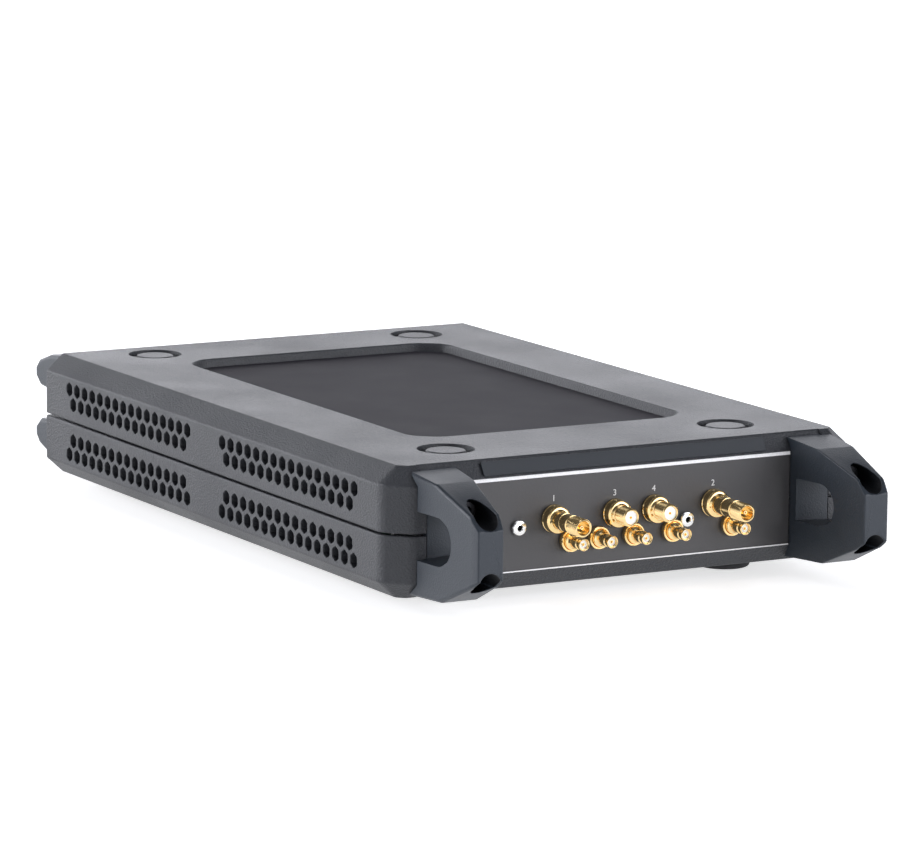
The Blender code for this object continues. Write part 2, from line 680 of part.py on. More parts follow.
# ---------------------------------------------------------------- rear panel
REAR_PANEL_Y = REAR - 0.0040      # inner face of the plate
REAR_FACE = REAR_PANEL_Y + 0.0020
REAR_JACK_REACH = 0.0095
REAR_JACKS = {
    "ref_in_jack": (0.036, 0.0290, 0.0031, 0.0052),
    "ref_out_jack": (0.036, 0.0150, 0.0031, 0.0052),
    "trigger_in_jack": (0.016, 0.0290, 0.0024, 0.0040),
    "trigger_out_jack": (0.016, 0.0150, 0.0024, 0.0040),
}


def make_rear():
    bores = []
    for name, (x, height, barrel, flange) in REAR_JACKS.items():
        small_port(name, x, BASE + height, REAR_FACE, "Y", REAR_JACK_REACH, NICKEL, flange, barrel)
        bores.append((x, BASE + height, barrel + 2 * GAP))
    dc_x, dc_z = -0.040, BASE + 0.0222
    dc_profile = [(0.0, 0.0060), (0.0011, 0.0060), (0.0011, -0.0020), (0.0042, -0.0020), (0.0042, 0.0080),
                  (0.0058, 0.0080), (0.0058, 0.0026), (0.0072, 0.0026), (0.0072, GAP), (0.0058, GAP),
                  (0.0058, -0.0090), (0.0, -0.0090)]
    turned("dc_power_jack", dc_profile, (dc_x, REAR_FACE, dc_z), "Y", FAN_BLACK, 14)
    bores.append((dc_x, dc_z, 0.0058 + 2 * GAP))
    ground_x, ground_z = -0.054, BASE + 0.0130
    ground_profile = [(0.0, 0.0100), (0.0020, 0.0100), (0.0020, 0.0062), (0.0040, 0.0062), (0.0040, 0.0030),
                      (0.0028, 0.0030), (0.0028, GAP), (0.0020, GAP), (0.0020, -0.0070), (0.0, -0.0070)]
    turned("ground_terminal", ground_profile, (ground_x, REAR_FACE, ground_z), "Y", NICKEL, 14)
    bores.append((ground_x, ground_z, 0.0020 + 2 * GAP))
    low = (-REAR_OPENING_HALF + GAP, REAR_PANEL_Y, PANEL_LOW + GAP)
    high = (REAR_OPENING_HALF - GAP, REAR_FACE, PANEL_HIGH - GAP)
    plate = bored_plate("rear_panel", low, high, bores, PANEL)
    usb_x, usb_z = -0.012, BASE + 0.0222
    window = box("usb_window", (usb_x - 0.0052, REAR_PANEL_Y - 0.003, usb_z - 0.0023),
                 (usb_x + 0.0052, REAR_FACE + 0.003, usb_z + 0.0023))
    boolean(plate, as_cutter(window))
    lock = box("lock_slot", (0.0500, REAR_PANEL_Y - 0.003, BASE + 0.0200),
               (0.0570, REAR_FACE + 0.003, BASE + 0.0230))
    boolean(plate, as_cutter(lock))
    make_usb(usb_x, usb_z)


def stadium_ring(cx, cz, y, length, height):
    """Slot outline in the XZ plane with round ends."""
    half = (length - height) / 2
    right = arc(cx + half, cz, height / 2, -90, 90, 6)
    left = arc(cx - half, cz, height / 2, 90, 270, 6)
    return [(x, y, z) for x, z in right + left]


def make_usb(x, z):
    back, face = REAR_PANEL_Y - 0.0055, REAR_FACE + 0.0004
    shell = loft("usb_c_receptacle", [stadium_ring(x, z, y, 0.0092, 0.0034) for y in (back, face)],
                 PORT_STEEL)
    mouth = [stadium_ring(x, z, y, 0.0084, 0.0026) for y in (back + 0.0010, face + 0.0020)]
    boolean(shell, as_cutter(loft("usb_mouth", mouth)))
    tongue = box("usb_tongue", (x - 0.0034, back + 0.0005, z - 0.00035),
                 (x + 0.0034, face - 0.0010, z + 0.00035))
    boolean(shell, as_cutter(tongue), "UNION")


# ---------------------------------------------------------------- inside
DECK_FRONT = FRONT + 0.0420
DECK_REAR = FRONT + 0.2360
POST_PLACES = [(x, y) for x in (-0.060, 0.060) for y in (DECK_FRONT + 0.006, DECK_REAR - 0.006)]


def board(name, z, half, y_low, y_high, thickness, mat):
    plate = box(name, (-half, y_low, z), (half, y_high, z + thickness), mat)
    bm = bmesh.new()
    for x, y in POST_PLACES:
        place = Matrix.Translation((x, y, z))
        bmesh.ops.create_cone(bm, cap_ends=True, segments=10, radius1=0.0018 + GAP, radius2=0.0018 + GAP,
                              depth=0.01, matrix=place)
    return boolean(plate, as_cutter(new_object(name + "_holes", bm)))


def make_inside():
    tray_z = BASE + DECK + 0.0008
    tray = box("chassis_tray", (-0.0690, FRONT + 0.0060, tray_z),
               (0.0690, FRONT + 0.2440, tray_z + 0.0070), SHEET)
    hollow = box("tray_hollow", (-0.0678, FRONT - 0.01, tray_z + 0.0012),
                 (0.0678, FRONT + 0.26, tray_z + 0.02))
    boolean(tray, as_cutter(hollow))
    board("digital_board", tray_z + 0.0040, 0.0660, DECK_FRONT - 0.002, DECK_REAR + 0.002, 0.0016, BOARD)
    make_heat_sink(tray_z + 0.0075)
    board("rf_board", tray_z + 0.0185, 0.0660, DECK_FRONT - 0.002, DECK_REAR + 0.002, 0.0016, BOARD)
    low = tray_z + 0.0205
    shield = box("rf_shield", (-0.0540, DECK_FRONT, low), (0.0540, DECK_REAR, low + 0.0112), SHEET)
    room = box("shield_room", (-0.0528, DECK_FRONT + 0.0012, low - 0.01),
               (0.0528, DECK_REAR - 0.0012, low + 0.0100))
    boolean(shield, as_cutter(room))
    for index, (x, y) in enumerate(POST_PLACES):
        low_end = (x, y, tray_z + 0.0012 + GAP)
        cylinder(f"standoff_{index + 1}", 0.0018, low_end, (x, y, tray_z + 0.0225), "Z", NICKEL, 8)


def make_heat_sink(z):
    """Aluminium plate with fins that run across the case, from one side's vents to the other's."""
    y_low, y_high, fin = DECK_FRONT + 0.014, DECK_REAR - 0.014, 0.0014
    sink = box("heat_sink", (-0.0550, y_low, z + 0.0080), (0.0550, y_high, z + 0.0104), SHEET)
    bm = bmesh.new()
    count = 14
    for i in range(count):
        y = y_low + fin + (y_high - y_low - 2 * fin) * i / (count - 1)
        place = Matrix.Translation((0.0, y, z + 0.0045)) @ Matrix.Diagonal((0.1090, fin, 0.0085, 1.0))
        bmesh.ops.create_cube(bm, size=1.0, matrix=place)
    boolean(sink, as_cutter(new_object("heat_sink_fins", bm)), "UNION")


def make_coax():
    """Semi-rigid lines from the four large connectors to the RF deck."""
    wall = DECK_FRONT - 0.0022 - GAP
    entry = BASE + DECK + 0.0008 + 0.0262
    starts = {"coax_port_1": ("port_1_connector", -0.040), "coax_lo_out": ("lo_out_connector", -0.012),
              "coax_lo_in": ("lo_in_connector", 0.018), "coax_port_2": ("port_2_connector", 0.044)}
    for name, (source, x_end) in starts.items():
        x, height, _ = LARGE_PORTS[source]
        z = BASE + height
        begin = PANEL_Y + 0.0150 + GAP
        points = [(x, begin, z), (x, begin + 0.006, z), ((x + x_end) / 2, begin + 0.013, (z + entry) / 2),
                  (x_end, wall - 0.006, entry), (x_end, wall, entry)]
        tube(name, points, 0.0011, COPPER)


FAN_SIZE = 0.0340
FAN_X = (0.0745, 0.0850)
FAN_PLACES = {"front": VENT_GROUPS[0], "rear": VENT_GROUPS[1]}


def make_fan(name, y):
    """Square axial fan that blows out through the right-hand vents; the rotor turns about X."""
    half = FAN_SIZE / 2
    x_in, x_out = FAN_X
    frame = box(f"fan_frame_{name}", (x_in, y - half, MID - half), (x_out, y + half, MID + half), FAN_BLACK)
    throat = cylinder(f"fan_throat_{name}", half - 0.0010, (x_in + 0.0020, y, MID),
                      (x_out + 0.001, y, MID), "X",
                      segments=28)
    boolean(frame, as_cutter(throat))
    bm = bmesh.new()
    for i in range(4):
        turn = Matrix.Rotation(math.radians(45 + 90 * i), 4, "X")
        sector = Matrix.Translation((x_in + 0.001, y, MID)) @ turn @ Matrix.Translation((0, 0.0112, 0))
        bmesh.ops.create_cube(bm, size=1.0, matrix=sector @ Matrix.Diagonal((0.006, 0.0072, 0.0130, 1.0)))
    boolean(frame, as_cutter(new_object(f"fan_windows_{name}", bm)))
    bearing = cylinder(f"fan_bearing_{name}", 0.0013, (x_in - 0.002, y, MID), (x_in + 0.004, y, MID), "X",
                       segments=10)
    boolean(frame, as_cutter(bearing))
    make_rotor(name, y)


def make_rotor(name, y):
    x_in, x_out = FAN_X
    back = x_in + 0.0020 + 0.0006
    front = x_out - 0.0006
    depth = front - back
    profile = [(0.0, depth), (0.0066, depth), (0.0070, depth - 0.0006), (0.0070, 0.0), (0.0010, 0.0),
               (0.0010, -0.0024), (0.0, -0.0024)]
    rotor = turned(f"fan_rotor_{name}", profile, (back, y, MID), "X", FAN_BLACK, 14)
    bm = bmesh.new()
    blades = 7
    for i in range(blades):
        turn = Matrix.Rotation(2 * math.pi * i / blades, 4, "X")
        place = turn @ Matrix.Translation((0, 0, 0.0106)) @ Matrix.Rotation(math.radians(38), 4, "Z")
        place = Matrix.Translation(((back + front) / 2, y, MID)) @ place
        bmesh.ops.create_cube(bm, size=1.0, matrix=place @ Matrix.Diagonal((0.0009, 0.0070, 0.0084, 1.0)))
    blade_set = as_cutter(new_object(f"fan_blades_{name}", bm))
    return boolean(rotor, blade_set, "UNION")


make_shells()
make_feet()
for side_name, side_sign in SIDES.items():
    make_handle(side_name, side_sign)
    for level_name, level_up in (("upper", 1), ("lower", -1)):
        make_bumper(level_name, level_up, side_name, side_sign)
make_front()
make_top_label()
make_rear()
make_inside()
make_coax()
for fan_name, fan_y in FAN_PLACES.items():
    make_fan(fan_name, fan_y)
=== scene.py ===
import math

import bmesh
import bpy
from mathutils import Matrix, Vector


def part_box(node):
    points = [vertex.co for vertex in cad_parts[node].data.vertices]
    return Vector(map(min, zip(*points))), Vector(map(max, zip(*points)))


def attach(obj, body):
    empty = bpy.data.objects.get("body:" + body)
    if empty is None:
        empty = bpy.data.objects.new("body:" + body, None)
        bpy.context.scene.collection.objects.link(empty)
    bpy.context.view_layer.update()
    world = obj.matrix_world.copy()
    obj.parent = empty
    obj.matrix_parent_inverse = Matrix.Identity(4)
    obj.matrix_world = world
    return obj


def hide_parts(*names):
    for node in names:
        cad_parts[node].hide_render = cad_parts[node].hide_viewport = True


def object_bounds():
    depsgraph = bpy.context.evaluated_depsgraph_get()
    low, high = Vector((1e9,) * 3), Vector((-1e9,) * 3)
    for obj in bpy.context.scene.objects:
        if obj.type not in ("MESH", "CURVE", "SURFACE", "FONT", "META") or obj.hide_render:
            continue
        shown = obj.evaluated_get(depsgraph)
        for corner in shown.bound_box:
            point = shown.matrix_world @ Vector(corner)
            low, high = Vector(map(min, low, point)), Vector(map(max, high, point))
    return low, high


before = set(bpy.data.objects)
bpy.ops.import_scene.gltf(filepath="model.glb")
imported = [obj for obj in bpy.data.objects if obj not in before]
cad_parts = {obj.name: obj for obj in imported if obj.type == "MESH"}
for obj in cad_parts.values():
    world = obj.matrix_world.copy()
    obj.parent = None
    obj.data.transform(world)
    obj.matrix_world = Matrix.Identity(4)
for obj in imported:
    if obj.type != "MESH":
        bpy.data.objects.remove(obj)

# Looks of the compact vector network analyzer.  Metres, +Z up, the connector panel faces -Y.

# ---------------- sizes read from the frame
cad_box = [list(corner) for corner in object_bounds()]
shell_low, shell_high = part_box("top_cover")
base_low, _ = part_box("bottom_cover")
panel_low, panel_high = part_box("front_panel")
label_low, label_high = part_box("top_label")
handle_low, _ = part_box("handle_right")

HALF = shell_high.x                    # half width of the case
REAR = shell_high.y
BLOCK_Y = shell_low.y                  # front face of the case corners
TOP = shell_high.z
BASE = base_low.z
MID = (TOP + BASE) / 2                 # the seam plane
PANEL_Y = panel_low.y
CHAMFER_RUN = 0.00665                  # horizontal run of the sloped long edges
CHAMFER_DROP = 0.0059
BLOCK_REACH = 0.0070                   # corner blocks ahead of the top face's front edge
CORNER_CUT = 0.0085                    # front corners seen from above
TOP_CORNER_CUT = 0.0026
CORNER_SOFTNESS = 0.3                  # share of the cut over which its ends are rounded
FRONT = BLOCK_Y + BLOCK_REACH          # front edge of the top face
PANEL_BOTTOM = BASE + 0.0061
PANEL_TOP = TOP - 0.0061
PANEL_HALF = 0.0650
PAD_HALF = 0.0786                      # outer end of the handle seats
SEAM = 0.0008
WALL = 0.0024
DECK = 0.0030
GAP = 0.0003
EDGE_SOFTNESS = 0.0007                 # reach of the curves that round the case's long edges
REAR_ROUNDING = 0.0005
SIDES = {"left": -1, "right": 1}
LEVELS = {"upper": 1, "lower": -1}


# ---------------- materials
MIX_FACTOR, MIX_FIRST, MIX_SECOND, MIX_RESULT = 0, 6, 7, 2      # the Mix node's sockets for colours


def shade(color, factor):
    return tuple(min(1.0, channel * factor) for channel in color)


def opaque(color):
    """A colour with its alpha; anything else as it is."""
    return (*color, 1.0) if isinstance(color, tuple) else color


class Graph:
    """Node tree of a material or world; a value or colour may be another node's output as well."""

    SOCKETS = {"color": "Base Color", "roughness": "Roughness", "metallic": "Metallic", "normal": "Normal",
               "coat": "Coat Weight", "coat_roughness": "Coat Roughness", "specular": "Specular IOR Level",
               "subsurface": "Subsurface Weight", "emission": "Emission Color", "glow": "Emission Strength"}

    def __init__(self, owner, space="Object"):
        owner.use_nodes = True
        self.owner = owner
        self.nodes, self.links = owner.node_tree.nodes, owner.node_tree.links
        self.place = self.nodes.new("ShaderNodeTexCoord").outputs[space]

    def fill(self, socket, value):
        if isinstance(value, bpy.types.NodeSocket):
            self.links.new(value, socket)
        else:
            socket.default_value = value

    def set(self, **values):
        """Inputs of the surface shader."""
        for key, value in values.items():
            self.fill(self.nodes["Principled BSDF"].inputs[self.SOCKETS[key]], opaque(value))

    def node(self, kind, inputs, output, **settings):
        made = self.nodes.new("ShaderNode" + kind)
        for name, value in settings.items():
            setattr(made, name, value)
        for socket, value in inputs.items():
            self.fill(made.inputs[socket], value)
        return made.outputs[output]

    def stretched(self, scale):
        return self.node("Mapping", {"Scale": scale, "Vector": self.place}, "Vector")

    def noise(self, size, detail=2.0, place=None):
        inputs = {"Scale": 1.0 / size, "Detail": detail, "Vector": place or self.place}
        return self.node("TexNoise", inputs, "Fac")

    def cells(self, size, place=None):
        return self.node("TexVoronoi", {"Scale": 1.0 / size, "Vector": place or self.place}, "Distance")

    def remap(self, value, low, high, to_low, to_high, curve="LINEAR"):
        inputs = {"From Min": low, "From Max": high, "To Min": to_low, "To Max": to_high, "Value": value}
        return self.node("MapRange", inputs, "Result", interpolation_type=curve)

    def blend(self, share, first, second):
        inputs = {MIX_FACTOR: share, MIX_FIRST: opaque(first), MIX_SECOND: opaque(second)}
        return self.node("Mix", inputs, MIX_RESULT, data_type="RGBA")

    def combine(self, operation, first, second):
        return self.node("Math", {0: first, 1: second}, "Value", operation=operation)

    def tint(self, value, low, high, first, second, top=1.0):
        """Base colour that goes from the first colour towards the second as the value rises."""
        self.set(color=self.blend(self.remap(value, low, high, 0.0, top), first, second))

    def gloss(self, value, low, high, smooth, coarse):
        self.set(roughness=self.remap(value, low, high, smooth, coarse))

    def bump(self, height, depth):
        self.set(normal=self.node("Bump", {"Distance": depth, "Height": height}, "Normal"))


def surface(name, **values):
    g = Graph(bpy.data.materials.new(name))
    g.set(**values)
    return g


def moulded_plastic(name, color, roughness, grain, depth, speckle, specular=0.5):
    """Moulded plastic with a spark-eroded grain: bumps, lighter and darker specks, faint uneven gloss."""
    g = surface(name, color=color, roughness=roughness, specular=specular)
    fine = g.noise(grain, 3.0)
    pits = g.cells(grain * 1.9)
    drift = g.noise(0.035, 3.0)
    specks = g.blend(g.remap(fine, 0.30, 0.70, 0.0, 1.0), shade(color, 1.0 - speckle),
                     shade(color, 1.0 + speckle))
    g.tint(drift, 0.35, 0.65, specks, shade(color, 0.90), 0.35)
    g.gloss(g.combine("ADD", fine, drift), 0.7, 1.3, roughness - 0.06, roughness + 0.06)
    g.bump(g.combine("ADD", fine, g.combine("MULTIPLY", pits, 0.7)), depth)
    return g.owner


def painted_sheet(name, color, roughness):
    """Satin powder-like paint on sheet metal, with faint orange peel."""
    g = surface(name, color=color, roughness=roughness)
    peel = g.noise(0.0011)
    g.tint(g.noise(0.03), 0.3, 0.7, shade(color, 0.93), shade(color, 1.07))
    g.gloss(peel, 0.3, 0.7, roughness - 0.05, roughness + 0.05)
    g.bump(peel, 0.00003)
    return g.owner


def printed_ink(name, color, roughness=0.5):
    g = surface(name, color=color, roughness=roughness)
    spread = g.noise(0.0006)
    g.tint(spread, 0.3, 0.7, shade(color, 0.88), color)
    g.bump(spread, 0.00001)
    return g.owner


def label_film(name, color, roughness, specular=0.5):
    """Polycarbonate film: velvet micro-texture with a few soft scuffs."""
    g = surface(name, color=color, roughness=roughness, specular=specular)
    drift = g.noise(0.020, 3.0)
    g.tint(drift, 0.4, 0.8, color, shade(color, 1.25), 0.5)
    g.gloss(drift, 0.3, 0.8, roughness, roughness + 0.06)
    g.bump(g.noise(0.0004), 0.00002)
    return g.owner


def plated_metal(name, color, roughness, wear=0.12, grain=(1.0, 1.0, 1.0)):
    """Turned and plated or drawn metal: fine tool marks, slightly uneven tint and gloss."""
    g = surface(name, color=color, roughness=roughness, metallic=1.0)
    marks = g.noise(0.0005, 4.0, g.stretched(grain))
    g.tint(g.noise(0.004), 0.3, 0.7, shade(color, 1.0 - wear), color)
    g.gloss(marks, 0.3, 0.7, max(0.04, roughness - 0.07), roughness + 0.09)
    g.bump(marks, 0.000008)
    return g.owner


def rubber(name, color):
    g = surface(name, color=color, roughness=0.75, specular=0.35)
    grain = g.noise(0.0005, 3.0)
    g.tint(g.noise(0.008, 3.0), 0.45, 0.75, color, shade(color, 1.9), 0.6)
    g.gloss(grain, 0.3, 0.7, 0.66, 0.84)
    g.bump(grain, 0.00006)
    return g.owner


def solder_mask(name):
    """Circuit board: green mask over copper tracks, with tinned vias."""
    g = surface(name, roughness=0.35, coat=0.3, coat_roughness=0.2)
    tracks = g.cells(0.0052, g.stretched((1.0, 0.35, 1.0)))
    masked = g.blend(g.remap(tracks, 0.30, 0.36, 0.0, 1.0), (0.010, 0.120, 0.050), (0.012, 0.075, 0.036))
    vias = g.remap(g.cells(0.0031), 0.10, 0.14, 1.0, 0.0)
    g.set(color=g.blend(vias, masked, (0.55, 0.52, 0.45)))
    g.bump(g.remap(tracks, 0.28, 0.38, 1.0, 0.0), 0.00004)
    return g.owner


def fluoropolymer(name):
    g = surface(name, color=(0.86, 0.84, 0.80), roughness=0.45, subsurface=0.15)
    cloud = g.noise(0.0009)
    g.tint(cloud, 0.3, 0.7, (0.80, 0.78, 0.73), (0.88, 0.87, 0.83))
    g.bump(cloud, 0.00001)
    return g.owner


SHELL = moulded_plastic("textured_shell_plastic", (0.027, 0.029, 0.034), 0.47, 0.00042, 0.00018, 0.25, 0.40)
BUMPER = moulded_plastic("bumper_plastic", (0.018, 0.024, 0.033), 0.44, 0.00035, 0.00005, 0.10, 0.38)
# Near-black matte plastic on the handles' bore walls and floors: painted shade for the dark deep inside the
# bores, which are moulded in the handle's own plastic.
PAINTED_BORE_SHADE = moulded_plastic("bore_painted_shade_plastic", (0.006, 0.007, 0.009), 0.60, 0.00035, 0.00005, 0.10, 0.15)
FAN_PLASTIC = moulded_plastic("fan_plastic", (0.012, 0.012, 0.013), 0.45, 0.0005, 0.00004, 0.12)
PANEL = painted_sheet("panel_grey", (0.037, 0.036, 0.038), 0.42)
PRINT = printed_ink("panel_print", (0.62, 0.62, 0.62))
# Pale ink for the ribs along the panel's top and bottom edges: partly a printed line, partly a painted
# highlight for the light caught by the lip's rounded edge.
EDGE_LINE_AND_HIGHLIGHT = printed_ink("panel_edge_line_and_painted_highlight", (0.80, 0.80, 0.81), 0.30)
LABEL = label_film("label_film", (0.017, 0.015, 0.021), 0.72, 0.20)
STRIP = label_film("strip_film", (0.016, 0.020, 0.026), 0.45)
GOLD = plated_metal("gold_plate", (1.0, 0.74, 0.36), 0.15)
NICKEL = plated_metal("nickel_plate", (0.86, 0.86, 0.85), 0.20)
BLACK_STEEL = plated_metal("black_oxide_steel", (0.050, 0.050, 0.055), 0.38)
SHEET = plated_metal("sheet_aluminium", (0.70, 0.71, 0.73), 0.36, 0.08, (1.0, 0.06, 1.0))
COPPER = plated_metal("drawn_copper", (0.80, 0.42, 0.25), 0.26)
PORT_STEEL = plated_metal("port_shell_steel", (0.60, 0.60, 0.61), 0.28)
RUBBER = rubber("foot_rubber", (0.016, 0.016, 0.018))
BOARD = solder_mask("board_mask")
DIELECTRIC = fluoropolymer("connector_dielectric")


# ---------------- mesh helpers
SHARP = 35                             # edges bent by more degrees stay sharp
TURNED_SHARP = 25                      # the same on the connectors
SHELL_SHARP = 30                       # the same on the two shells


def arc(cx, cy, radius, start, end, steps):
    """Points on an arc, angles in degrees."""
    angles = [math.radians(start + (end - start) * i / steps) for i in range(steps + 1)]
    return [(cx + radius * math.cos(a), cy + radius * math.sin(a)) for a in angles]


def soft_corners(points, reach, steps=4, closed=False):
    """The outline with each corner replaced by a curve that starts and ends up to reach away from it."""
    flat = [Vector(point) for point in points]
    result = []
    for i, corner in enumerate(flat):
        if not closed and i in (0, len(flat) - 1):
            result.append(tuple(corner))
            continue
        before, after = flat[i - 1], flat[(i + 1) % len(flat)]
        start = corner + (before - corner).normalized() * min(reach, 0.45 * (before - corner).length)
        end = corner + (after - corner).normalized() * min(reach, 0.45 * (after - corner).length)
        for step in range(steps + 1):
            t = step / steps
            result.append(tuple(start * (1 - t) ** 2 + corner * 2 * t * (1 - t) + end * t ** 2))
    return result


def as_object(name, bm, *mats):
    """A linked object from a bmesh, shaded smooth except at its real edges."""
    bmesh.ops.recalc_face_normals(bm, faces=bm.faces)
    mesh = bpy.data.meshes.new(name)
    bm.to_mesh(mesh)
    bm.free()
    for mat in mats:
        mesh.materials.append(mat)
    mesh.shade_smooth()
    mesh.set_sharp_from_angle(angle=math.radians(SHARP))
    made = bpy.data.objects.new(name, mesh)
    bpy.context.scene.collection.objects.link(made)
    return made


def loft_into(bm, rings):
    """Faces through rings of equal length, with both ends capped."""
    rows = [[bm.verts.new(point) for point in ring] for ring in rings]
    count = len(rows[0])
    for lower, upper in zip(rows, rows[1:]):
        for i in range(count):
            j = (i + 1) % count
            bm.faces.new((lower[i], lower[j], upper[j], upper[i]))
    bm.faces.new(list(reversed(rows[0])))
    bm.faces.new(rows[-1])


def lofts(name, many, *mats):
    """One object from several sets of rings."""
    bm = bmesh.new()
    for rings in many:
        loft_into(bm, rings)
    return as_object(name, bm, *mats)


def loft(name, rings, *mats):
    return lofts(name, [rings], *mats)


def extrude_x(name, outline, x_low, x_high, *mats):
    return loft(name, [[(x, y, z) for y, z in outline] for x in (x_low, x_high)], *mats)


def rings_along_x(outline, y, z, steps):
    """The outline round the point (y, z), at each x of the steps and scaled by the factor beside it."""
    return [[(x, y + a * grow, z + b * grow) for a, b in outline] for x, grow in steps]


def tube_along_y(x, z, radius, y_low, y_high, segments=40):
    circle = arc(x, z, radius, 0, 360, segments)[:-1]
    return [[(px, y, pz) for px, pz in circle] for y in (y_low, y_high)]


def mirrored(outline):
    """A side outline mirrored in the seam plane, in the order that carries the first one on."""
    return [(y, 2 * MID - z) for y, z in reversed(outline)]


def box_into(bm, low, high, material_index=0):
    low, high = Vector(low), Vector(high)
    place = Matrix.Translation((low + high) / 2) @ Matrix.Diagonal((*(high - low), 1.0))
    made = bmesh.ops.create_cube(bm, size=1.0, matrix=place)
    for face in {face for vertex in made["verts"] for face in vertex.link_faces}:
        face.material_index = material_index


def block(name, low, high, *mats):
    bm = bmesh.new()
    box_into(bm, low, high)
    return as_object(name, bm, *mats)


def toward(axis):
    """Rotation that turns local +Z to a world axis."""
    turns = {"X": ("Y", 90), "-Y": ("X", 90), "Y": ("X", -90), "Z": ("Z", 0)}
    about, angle = turns[axis]
    return Matrix.Rotation(math.radians(angle), 4, about)


THREAD_PITCH = 0.00075
THREAD_DEPTH = 0.00032


def lathe_into(bm, profile, centre, axis, segments=48, flats=0.0040):
    """Turned shape.  The profile holds (radius, height, kind, material index), from the axis round to it.

    A "thread" point rides on a helix; a "hex" point is held inside a hexagon.
    """
    place = Matrix.Translation(centre) @ toward(axis)
    rows = []
    for radius, height, kind, _ in profile:
        ring = []
        for i in range(segments):
            angle = 2 * math.pi * i / segments
            r = radius
            if kind == "thread":
                turns = height / THREAD_PITCH - i / segments
                r -= THREAD_DEPTH * (0.5 - 0.5 * math.cos(2 * math.pi * turns))
            if kind == "hex":
                r = min(r, flats / math.cos((angle % (math.pi / 3)) - math.pi / 6))
            ring.append((r * math.cos(angle), r * math.sin(angle), height))
            if radius == 0.0:
                break
        rows.append([bm.verts.new(place @ Vector(point)) for point in ring])
    for (lower, upper), step in zip(zip(rows, rows[1:]), profile[1:]):
        for i in range(segments):
            j = (i + 1) % segments
            if len(lower) == 1:
                corners = (lower[0], upper[j], upper[i])
            elif len(upper) == 1:
                corners = (lower[i], lower[j], upper[0])
            else:
                corners = (lower[i], lower[j], upper[j], upper[i])
            bm.faces.new(corners).material_index = step[3]


def plain(pairs, kind="", material_index=0):
    """Profile points of one kind."""
    return [(radius, height, kind, material_index) for radius, height in pairs]


def thread(radius, start, end, pitch=THREAD_PITCH):
    """Threaded stretch of a profile, with five points to each length of the pitch."""
    count = max(2, round(abs(end - start) / pitch * 5))
    return plain([(radius, start + (end - start) * i / count) for i in range(count + 1)], "thread")


def carve(target, tools, operation="DIFFERENCE"):
    """Apply exact Booleans with the tools, then remove the tools."""
    for tool in tools:
        modifier = target.modifiers.new(tool.name, "BOOLEAN")
        modifier.operation = operation
        modifier.solver = "EXACT"
        modifier.object = tool
    settle(target)
    for tool in tools:
        bpy.data.objects.remove(tool, do_unlink=True)
    return target


def settle(target):
    """Make the evaluated mesh the object's own."""
    bpy.context.view_layer.update()
    mesh = bpy.data.meshes.new_from_object(target.evaluated_get(bpy.context.evaluated_depsgraph_get()))
    target.modifiers.clear()
    target.data = mesh


def soften(target, width, angle=32, segments=2, keep=None):
    """Round the sharp edges, apart from those that keep() picks out."""
    bm = bmesh.new()
    bm.from_mesh(target.data)
    bmesh.ops.remove_doubles(bm, verts=bm.verts, dist=1e-7)
    limit = math.radians(angle)
    picked = [edge for edge in bm.edges if len(edge.link_faces) == 2 and edge.calc_face_angle(0.0) > limit]
    if keep:
        picked = [edge for edge in picked if not keep(edge)]
    bmesh.ops.bevel(bm, geom=picked, offset=width, segments=segments, profile=0.5, affect="EDGES",
                    clamp_overlap=False)
    bm.to_mesh(target.data)
    bm.free()
    return target


def smooth_faces(target, sharp=SHARP):
    """Smooth shading whose normals follow the large faces."""
    target.data.shade_smooth()
    target.data.set_sharp_from_angle(angle=math.radians(sharp))
    weighted = target.modifiers.new("weighted_normals", "WEIGHTED_NORMAL")
    weighted.keep_sharp = True
    weighted.weight = 80
    return target


def install(piece, slot, *nodes, body="case"):
    """The piece rides on its body and stands for its CAD nodes; the slot, its finish's name, is not used."""
    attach(piece, body)
    if nodes:
        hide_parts(*nodes)
    return piece


# ---------------- the two shells
REAR_OPENING_HALF = 0.0623
CAVITY_FRONT = FRONT + 0.0005
CAVITY_REAR = REAR - 0.0083
RECESS_INSET = 0.0009                  # clear border round the label in the recess
RECESS_DEPTH = 0.00356
RECESS_CUT = (0.0085, 0.0070)          # cut corners of the recess
RECESS_DRAFT = 0.0007
PAN_MARGIN = 0.004                     # the recess's pan, inside the case, round the label
PAN_THICKNESS = 0.0023
FOOT_X = 0.0551
FOOT_YS = {row: sum(corner.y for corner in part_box(f"foot_{row}_left")) / 2 for row in ("front", "rear")}
FOOT_RADIUS = 0.0093
DIMPLE_RADIUS = 0.0098
DIMPLE_DEPTH = 0.0018
PAD_RADIUS = 0.0070
PAD_DROP = 0.0003
POCKET_DEPTH = 0.0015
FOOT_PLACES = [(sign * FOOT_X, y) for sign in SIDES.values() for y in FOOT_YS.values()]
VENT_PITCH = 0.00643
VENT_SIZE = 0.0026
VENT_GROUPS = (FRONT + 0.0676, FRONT + 0.1911)
VENT_ROWS = ((0.0121, 16), (0.0067, 15))
SCREW_X = 0.0744
SCREW_RISE = 0.0111                    # front screws, from the seam plane
REAR_SCREW_X = 0.0745
REAR_SCREW_RISE = 0.0128
SCREW_RADIUS = 0.0020


